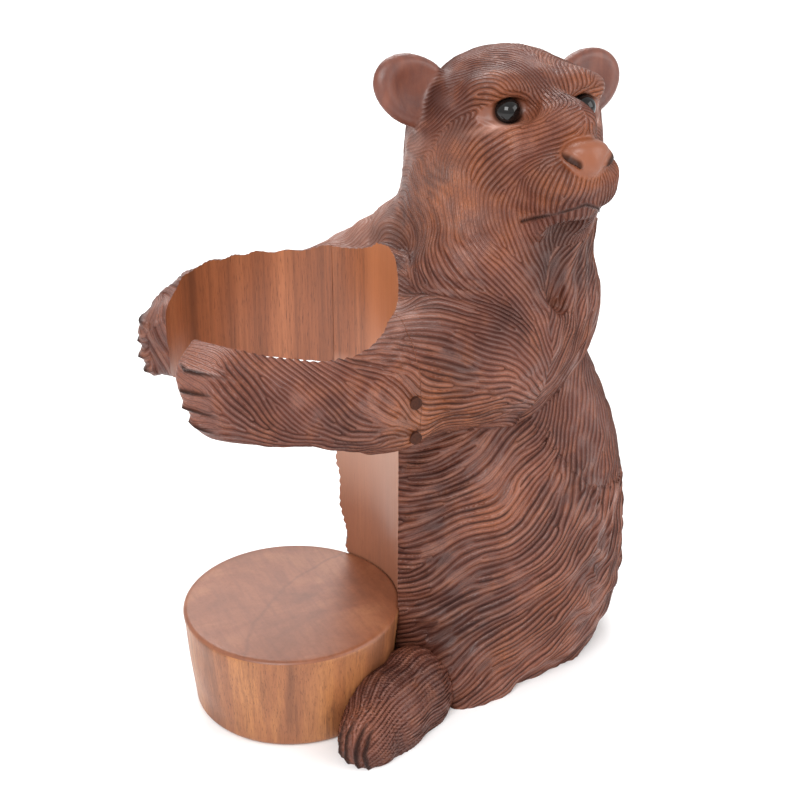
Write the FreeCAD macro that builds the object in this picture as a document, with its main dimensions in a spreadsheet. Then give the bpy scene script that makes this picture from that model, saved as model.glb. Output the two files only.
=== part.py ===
"""Carved wooden bear that hugs an upright wine bottle.

The origin is the centre of the round bottle base, on the ground. +Z is up, -Y is the side the
bear's arms and feet reach to, and +X is the bear's left. All sizes are in millimetres.
"""
import FreeCAD, Part
import math
import os
import Sketcher

V = FreeCAD.Vector
doc = FreeCAD.newDocument("bear_bottle_holder")
sheet = doc.addObject("Spreadsheet::Sheet", "dims")

# alias, value, meaning
DIMENSIONS = [
    ("bore_radius", 46.5, "radius of the round bottle space cut into chest, belly and arms"),
    ("glue_gap", 0.15, "clearance between two glued faces"),
    ("base_tall", 45.7, "height of the round base that the bottle stands on"),
    ("base_top_radius", 47.3, "radius of the base at its top"),
    ("base_foot_radius", 43.4, "radius of the base at the ground"),
    ("base_top_round", 1.8, "rounding of the base's top edge"),
    ("base_foot_round", 3.0, "rounding of the base's bottom edge"),
    ("joint_plane", 35.0, "distance of the arms' glue joints from the bottle axis, along Y"),
    ("arm_low", 140.0, "underside of the arms"),
    ("arm_tall", 44.0, "height of the arms"),
    ("arm_outer_radius", 61.0, "outer radius of the forearms"),
    ("arm_joint_half_width", 57.0, "half the width over both arms at the glue joint"),
    ("paw_angle", 62.0, "how far past the X axis a paw ends, seen from the bottle axis"),
    ("arm_round", 8.0, "rounding of the arms' outer edges"),
    ("haunch_wide", 50.0, "half width of the seat"),
    ("haunch_deep", 65.0, "half depth of the seat"),
    ("haunch_tall", 86.0, "half height of the seat's ellipsoid"),
    ("haunch_level", 52.0, "level of the seat's widest section"),
    ("body_back", 95.0, "distance of the trunk's axis behind the bottle axis"),
    ("torso_wide", 48.0, "half width of the upper body"),
    ("torso_deep", 45.0, "half depth of the upper body"),
    ("torso_tall", 54.0, "half height of the upper body"),
    ("torso_level", 165.0, "level of the upper body's centre, the arms and the shoulders"),
    ("shoulder_out", 31.0, "distance of a shoulder's axis from the middle plane"),
    ("shoulder_radius", 27.0, "radius of a shoulder at the glue joint"),
    ("shoulder_end_radius", 20.0, "radius of a shoulder where it ends inside the trunk"),
    ("shoulder_long", 72.0, "length of a shoulder"),
    ("chest_radius", 25.0, "radius of the bar that joins the shoulders"),
    ("head_back", 103.2, "distance of the head's centre behind the bottle axis"),
    ("head_level", 232.5, "level of the head's centre"),
    ("head_turn", 3.0, "turn of the head beyond square to the left"),
    ("head_pitch", 18.2, "lift of the muzzle"),
    ("head_roll", -4.8, "tilt of the head, positive with its left side up"),
    ("skull_radius", 40.0, "radius of the skull"),
    ("cheek_radius", 43.0, "radius of the cheeks and the ruff"),
    ("neck_radius", 39.0, "radius of the neck"),
    ("muzzle_radius", 25.0, "radius of the muzzle at the cheeks"),
    ("muzzle_end_radius", 16.0, "radius of the muzzle at its end"),
    ("muzzle_end", 48.0, "distance of the muzzle's end in front of the head's centre"),
    ("nose_radius", 8.0, "radius of the nose pad"),
    ("ear_radius", 14.5, "radius of an ear"),
    ("ear_thick", 7.0, "thickness of an ear"),
    ("eye_radius", 5.0, "radius of an eye bead"),
    ("eye_shank_radius", 1.5, "radius of the shank that holds an eye bead"),
    ("eye_shank_long", 9.0, "length of an eye bead's shank from the bead's centre"),
    ("dowel_radius", 4.0, "radius of the glued dowels"),
    ("arm_dowel_long", 32.0, "length of an arm dowel"),
    ("base_dowel_long", 36.0, "length of a base dowel"),
    ("foot_dowel_long", 30.0, "length of a foot dowel"),
    ("plug_radius", 2.5, "radius of the dark plugs over the pins at an arm joint"),
    ("plug_long", 6.0, "length of a plug"),
]
for row, (alias, value, meaning) in enumerate(DIMENSIONS, start=1):
    sheet.set("A%d" % row, alias)
    sheet.set("B%d" % row, str(value))
    sheet.set("C%d" % row, meaning)
    sheet.setAlias("B%d" % row, alias)
doc.recompute()


def size(alias):
    """The value of one driving dimension."""
    return float(getattr(sheet, alias))


def bind(obj, **expressions):
    """Bind properties of an object to the sheet; a double underscore in a name stands for a dot."""
    for name, expression in expressions.items():
        obj.setExpression(name.replace("__", "."), expression)


def place(obj, x="0", y="0", z="0"):
    """Bind an object's position to three expressions."""
    for axis, expression in zip("xyz", (x, y, z)):
        obj.setExpression("Placement.Base." + axis, expression)


# ---- Part primitives -----------------------------------------------------------------------

def ellipsoid(name, centre, wide, deep, tall):
    """An ellipsoid whose centre and half sizes along X, Y and Z are expressions."""
    obj = doc.addObject("Part::Ellipsoid", name)
    bind(obj, Radius2=wide, Radius3=deep, Radius1=tall)
    obj.Angle1 = -90
    obj.Angle2 = 90
    place(obj, *centre)
    return obj


def cylinder(name, radius, length, centre, direction):
    """A round bar that starts at a point and runs along a direction."""
    obj = doc.addObject("Part::Cylinder", name)
    bind(obj, Radius=radius, Height=length)
    obj.Placement = FreeCAD.Placement(centre, FreeCAD.Rotation(V(0, 0, 1), direction))
    return obj


def fuse(name, shapes):
    obj = doc.addObject("Part::MultiFuse", name)
    obj.Shapes = shapes
    return obj


def cut(name, base, tool):
    obj = doc.addObject("Part::Cut", name)
    obj.Base = base
    obj.Tool = tool
    return obj


def group(label, solids):
    """Identical fasteners as one node of separate solids."""
    obj = doc.addObject("Part::Compound", label)
    obj.Links = solids
    return obj


# ---- PartDesign helpers --------------------------------------------------------------------

def origin_plane(body, role):
    return [f for f in body.Origin.OriginFeatures if f.Role == role][0]


def new_sketch(body, name, role, offset=0.0):
    """A sketch on one of the body's own origin planes, moved along the plane's normal."""
    sketch = body.newObject("Sketcher::SketchObject", name)
    sketch.AttachmentSupport = [(origin_plane(body, role), "")]
    sketch.MapMode = "FlatFace"
    sketch.AttachmentOffset = FreeCAD.Placement(V(0, 0, offset), FreeCAD.Rotation())
    return sketch


def named(sketch, name, expression, *args):
    """Add a constraint, name it and bind it to the sheet."""
    index = sketch.addConstraint(Sketcher.Constraint(*args))
    sketch.renameConstraint(index, name)
    sketch.setExpression("Constraints." + name, expression)


def edges_where(feature, test):
    """Names of the edges whose middle point passes a test."""
    names = []
    for index, edge in enumerate(feature.Shape.Edges, start=1):
        first, last = edge.ParameterRange
        if test(edge.valueAt((first + last) / 2), edge):
            names.append("Edge%d" % index)
    return names


def fillet(body, name, base, radius, test):
    obj = body.newObject("PartDesign::Fillet", name)
    obj.Base = (base, edges_where(base, test))
    bind(obj, Radius=radius)
    body.Tip = obj
    doc.recompute()
    return obj


def round_pockets(body, name, role, offset, centres, radius, depth, reverse):
    """Blind round holes from circles on an offset origin plane; returns the pocket."""
    before = body.Shape.Volume
    sketch = new_sketch(body, name + "_plan", role, offset)
    for index, (x, y) in enumerate(centres):
        circle = sketch.addGeometry(Part.Circle(V(x, y, 0), V(0, 0, 1), size("dowel_radius")))
        sketch.addConstraint(Sketcher.Constraint("DistanceX", -1, 1, circle, 3, x))
        sketch.addConstraint(Sketcher.Constraint("DistanceY", -1, 1, circle, 3, y))
        named(sketch, "radius_%d" % index, radius, "Radius", circle, size("dowel_radius"))
    pocket = body.newObject("PartDesign::Pocket", name)
    pocket.Profile = sketch
    pocket.Length = depth
    pocket.Reversed = reverse
    body.Tip = pocket
    doc.recompute()
    if body.Shape.Volume > before - 1.0:
        raise RuntimeError(name + " cuts nothing")
    return pocket


# ---- bottle base ---------------------------------------------------------------------------

BASE_DOWEL_OUT = 14.0       # distance of a base dowel from the middle plane
BASE_DOWEL_LEVEL = 22.0
BASE_DOWEL_START = 26.0     # where a base dowel's hole ends inside the base, along Y


def make_base():
    body = doc.addObject("PartDesign::Body", "bottle_base")
    sketch = new_sketch(body, "base_profile", "XZ_Plane")
    top, foot, tall = size("base_top_radius"), size("base_foot_radius"), size("base_tall")
    corners = [V(0, 0, 0), V(foot, 0, 0), V(top, tall, 0), V(0, tall, 0)]
    for start, end in zip(corners, corners[1:] + corners[:1]):
        sketch.addGeometry(Part.LineSegment(start, end))
    for line in range(4):
        sketch.addConstraint(Sketcher.Constraint("Coincident", line, 2, (line + 1) % 4, 1))
    sketch.addConstraint(Sketcher.Constraint("Coincident", 0, 1, -1, 1))
    sketch.addConstraint(Sketcher.Constraint("Horizontal", 0))
    sketch.addConstraint(Sketcher.Constraint("Horizontal", 2))
    sketch.addConstraint(Sketcher.Constraint("Vertical", 3))
    named(sketch, "foot_radius", "dims.base_foot_radius", "DistanceX", 0, 1, 0, 2, foot)
    named(sketch, "top_radius", "dims.base_top_radius", "DistanceX", 2, 2, 2, 1, top)
    named(sketch, "tall", "dims.base_tall", "DistanceY", 0, 2, 1, 2, tall)
    turned = body.newObject("PartDesign::Revolution", "turned_block")
    turned.Profile = sketch
    turned.ReferenceAxis = (sketch, ["V_Axis"])
    turned.Angle = 360
    body.Tip = turned
    doc.recompute()
    rounded = fillet(body, "top_rim", turned, "dims.base_top_round",
                     lambda p, edge: p.z > tall - 0.01 and edge.Length > 2 * top)
    fillet(body, "ground_rim", rounded, "dims.base_foot_round",
           lambda p, edge: p.z < 0.01 and edge.Length > 2 * foot)
    # the plane stands just outside the base, and the holes run from it towards -Y
    hole_plane = top + 1.0
    centres = [(side * BASE_DOWEL_OUT, BASE_DOWEL_LEVEL) for side in (-1, 1)]
    round_pockets(body, "base_dowel_holes", "XZ_Plane", -hole_plane, centres,
                  "dims.dowel_radius + dims.glue_gap", hole_plane - BASE_DOWEL_START, True)
    return body


# ---- arms ----------------------------------------------------------------------------------

ARM_DOWEL_OUT = 46.5        # distance of an arm dowel from the middle plane
ARM_DOWEL_LEVELS = (151.0, 165.0)
ARM_DOWEL_DEEP = 12.0       # depth of a dowel in the arm
PLUG_LEVELS = (145.0, 160.0)
PLUG_SINK = 5.0             # depth of a plug under the arm's outer face
PLUG_FORWARD = 3.0          # distance of a plug's axis in front of the glue joint


def make_arm(label, side):
    """One arm: a curved bar round the bottle space, square at its glue joint, rounded at its paw."""
    body = doc.addObject("PartDesign::Body", label)
    place(body, z="dims.arm_low")
    sketch = new_sketch(body, label + "_plan", "XY_Plane")
    inner, outer = size("bore_radius"), size("arm_outer_radius")
    joint, width = size("joint_plane"), size("arm_joint_half_width")
    paw = math.radians(size("paw_angle"))
    joint_in = V(side * math.sqrt(inner ** 2 - joint ** 2), joint, 0)
    joint_out = V(side * width, joint, 0)
    # the outer face leaves the joint on a straight line that touches the forearm's outer arc
    reach = math.hypot(width, joint)
    touch = math.atan2(joint, width) - math.acos(outer / reach)
    touch_point = V(side * outer * math.cos(touch), outer * math.sin(touch), 0)

    def on_circle(radius, angle):
        return V(side * radius * math.cos(angle), radius * math.sin(angle), 0)

    def arc(radius, start, end):
        middle = on_circle(radius, (start + end) / 2)
        return Part.Arc(on_circle(radius, start), middle, on_circle(radius, end))

    curves = [
        arc(inner, math.asin(joint / inner), -paw),
        Part.LineSegment(on_circle(inner, -paw), on_circle(outer, -paw)),
        arc(outer, -paw, touch),
        Part.LineSegment(touch_point, joint_out),
        Part.LineSegment(joint_out, joint_in),
    ]
    ids = [sketch.addGeometry(curve) for curve in curves]
    # an arc keeps its own direction of travel, so its ends are matched by position
    for first, second in zip(ids, ids[1:] + ids[:1]):
        meeting = [(a, b) for a in (1, 2) for b in (1, 2)
                   if (sketch.getPoint(first, a) - sketch.getPoint(second, b)).Length < 0.01]
        sketch.addConstraint(Sketcher.Constraint("Coincident", first, meeting[0][0],
                                                 second, meeting[0][1]))
    for curve in (ids[0], ids[2]):
        sketch.addConstraint(Sketcher.Constraint("Coincident", curve, 3, -1, 1))
    named(sketch, "inner_radius", "dims.bore_radius", "Radius", ids[0], inner)
    named(sketch, "outer_radius", "dims.arm_outer_radius", "Radius", ids[2], outer)
    named(sketch, "joint_plane", "dims.joint_plane", "DistanceY", -1, 1, ids[4], 1, joint)
    sketch.addConstraint(Sketcher.Constraint("Horizontal", ids[4]))
    sketch.addConstraint(Sketcher.Constraint("PointOnObject", -1, 1, ids[1]))
    doc.recompute()

    bar = body.newObject("PartDesign::Pad", label + "_bar")
    bar.Profile = sketch
    bind(bar, Length="dims.arm_tall")
    body.Tip = bar
    doc.recompute()
    tall = size("arm_tall")
    paw_corner = on_circle(outer, -paw)
    rounded = fillet(body, label + "_paw_corner", bar, "dims.arm_round",
                     lambda p, e: math.hypot(p.x - paw_corner.x, p.y - paw_corner.y) < 0.1)
    middle = (inner + outer) / 2

    def outer_rim(p, edge):
        at_rim = min(abs(p.z), abs(p.z - tall)) < 0.01
        return at_rim and math.hypot(p.x, p.y) > middle and abs(p.y - joint) > 0.01

    fillet(body, label + "_outer_rims", rounded, "dims.arm_round - 1", outer_rim)

    # the body's own frame starts at the arm's underside
    low = size("arm_low")
    dowels = [(side * ARM_DOWEL_OUT, level - low) for level in ARM_DOWEL_LEVELS]
    round_pockets(body, label + "_dowel_holes", "XZ_Plane", -joint, dowels,
                  "dims.dowel_radius + dims.glue_gap", ARM_DOWEL_DEEP, True)
    plug_plane = side * (width + 6.0)
    plugs = [(joint - PLUG_FORWARD, level - low) for level in PLUG_LEVELS]
    round_pockets(body, label + "_plug_holes", "YZ_Plane", plug_plane, plugs,
                  "dims.plug_radius + dims.glue_gap", 6.0 + PLUG_SINK, side < 0)
    return body


# ---- trunk and head ------------------------------------------------------------------------

GROUND_BOX = 400.0          # side of the boxes that trim at the ground and at the glue joint
SHOULDER_LEAD = 3.0         # how far a shoulder starts in front of the glue joint before trimming
SHOULDER_LEAN = 6.0         # how far a shoulder's axis runs inwards along its length


def make_bottle_space():
    """What the bottle and the base take out of the trunk: a straight bore over a tapered seat."""
    bore = doc.addObject("Part::Cylinder", "bottle_bore")
    bind(bore, Radius="dims.bore_radius", Height="dims.head_level + 100")
    place(bore, z="dims.base_tall")
    seat = doc.addObject("Part::Cone", "base_seat")
    bind(seat, Radius1="dims.base_foot_radius + dims.glue_gap",
         Radius2="dims.base_top_radius + dims.glue_gap",
         Height="dims.base_tall + 2 * dims.glue_gap")
    return fuse("bottle_space", [bore, seat])


def make_below_ground():
    box = doc.addObject("Part::Box", "below_ground")
    box.Length = box.Width = box.Height = GROUND_BOX
    place(box, str(-GROUND_BOX / 2), str(-GROUND_BOX / 2), str(-GROUND_BOX))
    return box


def make_front_of_joint():
    box = doc.addObject("Part::Box", "front_of_joint")
    box.Length = box.Width = box.Height = GROUND_BOX
    place(box, str(-GROUND_BOX / 2), "dims.joint_plane - %g" % GROUND_BOX, "dims.base_tall")
    return box


def head_frame():
    """Position and turn of the head: local X runs forward, Y to the bear's left, Z up."""
    turn = FreeCAD.Rotation(V(0, 0, 1), size("head_turn"))
    lift = FreeCAD.Rotation(V(0, 1, 0), -size("head_pitch"))
    tilt = FreeCAD.Rotation(V(1, 0, 0), size("head_roll"))
    return FreeCAD.Placement(V(-2.8, size("head_back"), size("head_level")), turn * lift * tilt)


MUZZLE_START = 10.0                 # where the muzzle starts inside the head, forward
MUZZLE_DROP = -12.0                 # level of the muzzle's axis
MUZZLE_TIP_BACK = 5.0               # how far the round end's centre lies inside the muzzle
JAW_DROP = -14.0                    # level of the jaw's axis below the muzzle's
EAR_PLACE = (-7.0, 41.0, 28.0)      # forward, left, up of the centre of an ear's back
EAR_CUP_RADIUS = 13.0               # radius of the ball that hollows an ear
EAR_CUP_OUT = 8.5                   # distance of that ball's centre in front of the ear
EYE_PLACE = (29.0, 17.3, 15.8)      # forward, left, up of an eye bead's centre
EYE_LOOK = (0.88, 0.45, 0.12)       # direction an eye looks in


def sphere(name, radius, centre):
    obj = doc.addObject("Part::Sphere", name)
    bind(obj, Radius=radius)
    obj.Placement.Base = centre
    return obj


def make_ear(name, side):
    """A thick disc that faces forward, hollowed by a ball."""
    back = mirrored(EAR_PLACE, side)
    disc = cylinder(name + "_disc", "dims.ear_radius", "dims.ear_thick", back, V(1, 0, 0))
    mouth = back + V(size("ear_thick") + EAR_CUP_OUT, 0, 0)
    return cut(name, disc, sphere(name + "_cup", str(EAR_CUP_RADIUS), mouth))


def mirrored(vector, side):
    return V(vector[0], side * vector[1], vector[2])


def make_eye_socket(name, side):
    """The drilled seat of an eye bead, in the head's frame."""
    centre, look = mirrored(EYE_PLACE, side), mirrored(EYE_LOOK, side)
    ball = sphere(name + "_ball", "dims.eye_radius + dims.glue_gap", centre)
    shank = cylinder(name + "_shank", "dims.eye_shank_radius + dims.glue_gap",
                     "dims.eye_shank_long + 1", centre, -look)
    return fuse(name, [ball, shank])


def make_muzzle(name, drop, shrink):
    """A tapered bar that runs forward out of the head, with a round end."""
    start = V(MUZZLE_START, 0, drop)
    taper = doc.addObject("Part::Cone", name + "_taper")
    bind(taper, Radius1="dims.muzzle_radius * %g" % shrink,
         Radius2="dims.muzzle_end_radius * %g" % shrink,
         Height="(dims.muzzle_end - %g) * %g" % (MUZZLE_START, shrink))
    taper.Placement = FreeCAD.Placement(start, FreeCAD.Rotation(V(0, 0, 1), V(1, 0, 0)))
    length = (size("muzzle_end") - MUZZLE_START) * shrink
    tip = sphere(name + "_tip", "dims.muzzle_end_radius * %g" % shrink,
                 start + V(length - MUZZLE_TIP_BACK, 0, 0))
    return fuse(name, [taper, tip])


def make_head():
    masses = [
        sphere("skull", "dims.skull_radius", V(-4, 0, 6)),
        sphere("cheeks", "dims.cheek_radius", V(-4, 0, -14)),
        make_muzzle("muzzle", MUZZLE_DROP, 1.0),
        make_muzzle("jaw", MUZZLE_DROP + JAW_DROP, 0.72),
        sphere("nose_pad", "dims.nose_radius", V(size("muzzle_end") + 5, 0, -3)),
        sphere("brow", "16", V(24, 0, 13)),
        make_ear("left_ear", 1),
        make_ear("right_ear", -1),
    ]
    solid = fuse("head_block", masses)
    sockets = fuse("eye_sockets", [make_eye_socket("left_socket", 1),
                                   make_eye_socket("right_socket", -1)])
    head = cut("head", solid, sockets)
    head.Placement = head_frame()
    return head


def make_haunch(name):
    return ellipsoid(name, ("0", "dims.body_back", "dims.haunch_level"),
                     "dims.haunch_wide", "dims.haunch_deep", "dims.haunch_tall")


def make_trunk(bottle_space, below_ground, dowel_holes):
    """Seat, upper body, shoulders, neck and head, carved from one block."""
    masses = [
        make_haunch("haunch"),
        ellipsoid("torso", ("0", "dims.body_back + 2", "dims.torso_level"),
                  "dims.torso_wide", "dims.torso_deep", "dims.torso_tall"),
        sphere("neck", "dims.neck_radius", V(0, size("body_back") + 3, size("torso_level") + 35)),
        make_head(),
    ]
    joint, level = size("joint_plane"), size("torso_level")
    chest_start = V(-size("shoulder_out"), joint + size("chest_radius"), level)
    masses.append(cylinder("chest", "dims.chest_radius", "2 * dims.shoulder_out",
                           chest_start, V(1, 0, 0)))
    for name, side in (("left_shoulder", 1), ("right_shoulder", -1)):
        shoulder = doc.addObject("Part::Cone", name)
        bind(shoulder, Radius1="dims.shoulder_radius", Radius2="dims.shoulder_end_radius",
             Height="dims.shoulder_long")
        start = V(side * size("shoulder_out"), joint - SHOULDER_LEAD, level)
        inwards = V(-side * SHOULDER_LEAN, size("shoulder_long"), 0)
        shoulder.Placement = FreeCAD.Placement(start, FreeCAD.Rotation(V(0, 0, 1), inwards))
        masses.append(shoulder)
    block = fuse("trunk_block", masses)
    tools = fuse("trunk_cuts", [bottle_space, below_ground, make_front_of_joint()] + dowel_holes)
    return cut("carved_body", block, tools)


# ---- feet ----------------------------------------------------------------------------------

FOOT_HEADING = 63.0         # angle of a foot's length, from +X towards -Y
FOOT_DOWEL_FROM = (31.0, 65.0, 14.0)
FOOT_DOWEL_TO = (46.0, 40.0, 12.0)


def make_foot(label, side, bottle_space, below_ground, hole):
    """A foot that lies on the ground beside the base, hollowed to fit the haunch and the base."""
    heel = ellipsoid(label + "_heel", (str(side * 44), "45", "11"), "30", "16", "19")
    toes = ellipsoid(label + "_toes", (str(side * 55), "23", "9"), "25", "14", "14")
    for mass in (heel, toes):
        mass.Placement.Rotation = FreeCAD.Rotation(V(0, 0, 1), -side * FOOT_HEADING)
    tools = fuse(label + "_cuts", [bottle_space, below_ground, make_haunch(label + "_haunch"),
                                   hole])
    return cut(label, fuse(label + "_block", [heel, toes]), tools)


# ---- eyes ----------------------------------------------------------------------------------

def make_eye(label, side):
    """A round bead on a shank; the body's +Z is the direction the eye looks in."""
    body = doc.addObject("PartDesign::Body", label)
    bead, shank, length = size("eye_radius"), size("eye_shank_radius"), size("eye_shank_long")
    shoulder = -math.sqrt(bead ** 2 - shank ** 2)
    sketch = new_sketch(body, label + "_profile", "XZ_Plane")
    ball = sketch.addGeometry(Part.Arc(V(shank, shoulder, 0), V(bead, 0, 0), V(0, bead, 0)))
    lines = [(V(0, bead, 0), V(0, -length, 0)),
             (V(0, -length, 0), V(shank, -length, 0)),
             (V(shank, -length, 0), V(shank, shoulder, 0))]
    axis, end, wall = [sketch.addGeometry(Part.LineSegment(a, b)) for a, b in lines]
    add = sketch.addConstraint
    add(Sketcher.Constraint("Coincident", ball, 2, axis, 1))
    add(Sketcher.Constraint("Coincident", axis, 2, end, 1))
    add(Sketcher.Constraint("Coincident", end, 2, wall, 1))
    add(Sketcher.Constraint("Coincident", wall, 2, ball, 1))
    add(Sketcher.Constraint("Coincident", ball, 3, -1, 1))
    add(Sketcher.Constraint("PointOnObject", axis, 1, -2))
    add(Sketcher.Constraint("Vertical", axis))
    add(Sketcher.Constraint("Horizontal", end))
    add(Sketcher.Constraint("Vertical", wall))
    named(sketch, "bead_radius", "dims.eye_radius", "Radius", ball, bead)
    named(sketch, "shank_radius", "dims.eye_shank_radius", "DistanceX", end, 1, end, 2, shank)
    named(sketch, "shank_long", "dims.eye_shank_long", "DistanceY", end, 1, -1, 1, length)
    turned = body.newObject("PartDesign::Revolution", label + "_turned")
    turned.Profile = sketch
    turned.ReferenceAxis = (sketch, ["V_Axis"])
    turned.Angle = 360
    body.Tip = turned
    local = FreeCAD.Placement(mirrored(EYE_PLACE, side),
                              FreeCAD.Rotation(V(0, 0, 1), mirrored(EYE_LOOK, side)))
    body.Placement = head_frame() * local
    return body


# ---- dowels and plugs ----------------------------------------------------------------------

def make_bars(name, places, radius, length):
    """One bar for each (start, direction); returns the bars."""
    return [cylinder("%s_%d" % (name, index), radius, length, start, direction)
            for index, (start, direction) in enumerate(places, start=1)]


def fit_and_holes(name, places, radius, length):
    """Fasteners, and the slightly wider bars that cut their holes."""
    bars = make_bars(name, places, radius, length)
    holes = make_bars(name + "_hole", places, radius + " + dims.glue_gap", length)
    return bars, holes


arm_places = []
base_places = []
plug_places = []
for side in (-1, 1):
    base_places.append((V(side * BASE_DOWEL_OUT, BASE_DOWEL_START, BASE_DOWEL_LEVEL), V(0, 1, 0)))
    for level in ARM_DOWEL_LEVELS:
        start = V(side * ARM_DOWEL_OUT, size("joint_plane") - ARM_DOWEL_DEEP, level)
        arm_places.append((start, V(0, 1, 0)))
    for level in PLUG_LEVELS:
        start = V(side * (size("arm_joint_half_width") - PLUG_SINK),
                  size("joint_plane") - PLUG_FORWARD, level)
        plug_places.append((start, V(side, 0, 0)))


def foot_place(side):
    start = V(side * FOOT_DOWEL_FROM[0], *FOOT_DOWEL_FROM[1:])
    end = V(side * FOOT_DOWEL_TO[0], *FOOT_DOWEL_TO[1:])
    return start, end - start


arm_bars, arm_holes = fit_and_holes("arm_dowel", arm_places, "dims.dowel_radius",
                                    "dims.arm_dowel_long")
base_bars, base_holes = fit_and_holes("base_dowel", base_places, "dims.dowel_radius",
                                      "dims.base_dowel_long")
foot_bars, foot_holes = fit_and_holes("foot_dowel", [foot_place(-1), foot_place(1)],
                                      "dims.dowel_radius", "dims.foot_dowel_long")
plug_bars = make_bars("joint_plug", plug_places, "dims.plug_radius", "dims.plug_long")

bottle_space = make_bottle_space()
below_ground = make_below_ground()
parts = [
    make_trunk(bottle_space, below_ground, arm_holes + base_holes + foot_holes),
    make_arm("left_arm", 1),
    make_arm("right_arm", -1),
    make_base(),
    make_foot("left_foot", 1, bottle_space, below_ground, foot_holes[1]),
    make_foot("right_foot", -1, bottle_space, below_ground, foot_holes[0]),
    make_eye("left_eye", 1),
    make_eye("right_eye", -1),
    group("arm_dowels", arm_bars),
    group("base_dowels", base_bars),
    group("foot_dowels", foot_bars),
    group("joint_plugs", plug_bars),
]
doc.recompute()

# ---- checks and export ---------------------------------------------------------------------

for obj in doc.Objects:
    if "Invalid" in obj.State or "Error" in obj.State:
        raise RuntimeError("%s failed to build: %s" % (obj.Name, obj.State))

os.makedirs("parts", exist_ok=True)
for part in parts:
    shape = part.Shape
    if shape.isNull() or not shape.isValid():
        raise RuntimeError(part.Label + " has no valid shape")
    shape.exportStep("parts/%s.step" % part.Label)
    box = shape.BoundBox
    print("%-14s solids %d  volume %9.0f  x %.1f..%.1f  y %.1f..%.1f  z %.1f..%.1f"
          % (part.Label, len(shape.Solids), shape.Volume, box.XMin, box.XMax,
             box.YMin, box.YMax, box.ZMin, box.ZMax))
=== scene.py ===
"""Looks of the carved wooden bear that holds a wine bottle.

The fur is cut with a gouge: every groove here is geometry. One distance field gives the bear's
form, a field of stroke directions runs over it, evenly spaced grooves follow the strokes, and
then the same cuts as on the bench are made: the round bottle space, the flat ground face and the
two glue joints of the arms. Lengths are in millimetres until a mesh is made.
"""
import math

import bmesh
import bpy
import numpy as np
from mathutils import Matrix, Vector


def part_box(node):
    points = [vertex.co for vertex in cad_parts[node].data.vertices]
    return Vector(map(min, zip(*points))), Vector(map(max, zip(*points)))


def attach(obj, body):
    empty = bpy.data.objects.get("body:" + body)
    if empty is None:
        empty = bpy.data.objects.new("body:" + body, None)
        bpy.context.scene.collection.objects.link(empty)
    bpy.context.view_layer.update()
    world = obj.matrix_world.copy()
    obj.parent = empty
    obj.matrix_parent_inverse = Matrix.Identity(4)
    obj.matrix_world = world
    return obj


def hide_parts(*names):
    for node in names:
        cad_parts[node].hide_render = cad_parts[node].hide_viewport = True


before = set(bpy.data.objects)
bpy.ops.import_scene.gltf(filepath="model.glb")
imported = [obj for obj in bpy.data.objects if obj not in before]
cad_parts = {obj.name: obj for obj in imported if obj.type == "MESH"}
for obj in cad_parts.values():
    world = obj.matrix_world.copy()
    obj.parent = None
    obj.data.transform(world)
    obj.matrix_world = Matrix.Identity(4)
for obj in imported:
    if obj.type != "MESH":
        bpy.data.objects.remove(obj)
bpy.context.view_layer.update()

import openvdb
from mathutils import Matrix, Vector
from mathutils.kdtree import KDTree

MM = 0.001


def box_mm(node):
    """Lowest and highest corners of a CAD node, in millimetres."""
    low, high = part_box(node)
    return np.array(low) / MM, np.array(high) / MM


# ---- sizes from the frame

BASE_LOW, BASE_HIGH = box_mm("bottle_base")
_, BODY_HIGH = box_mm("carved_body")
ARM_LOW, ARM_HIGH = box_mm("left_arm")
GLUE_GAP = 0.15
BASE_TALL = BASE_HIGH[2]
BASE_RADIUS = (BASE_HIGH[0] - BASE_LOW[0]) / 2
BASE_FOOT_RADIUS = BASE_RADIUS - 3.9
BORE = BASE_RADIUS - 0.5                    # radius of the bottle space
JOINT_Y = ARM_HIGH[1]                       # plane of the arms' glue joints
BACK_Y = BODY_HIGH[1] - 65.0                # axis of the seated trunk
TOP = BODY_HIGH[2]
ARM_MIDDLE = (ARM_LOW[2] + ARM_HIGH[2]) / 2

FORM_STEP = 1.05          # grid step of the bear's distance field
SMALL_STEP = 0.8          # grid step of the small pieces


# ---- distance fields

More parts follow.
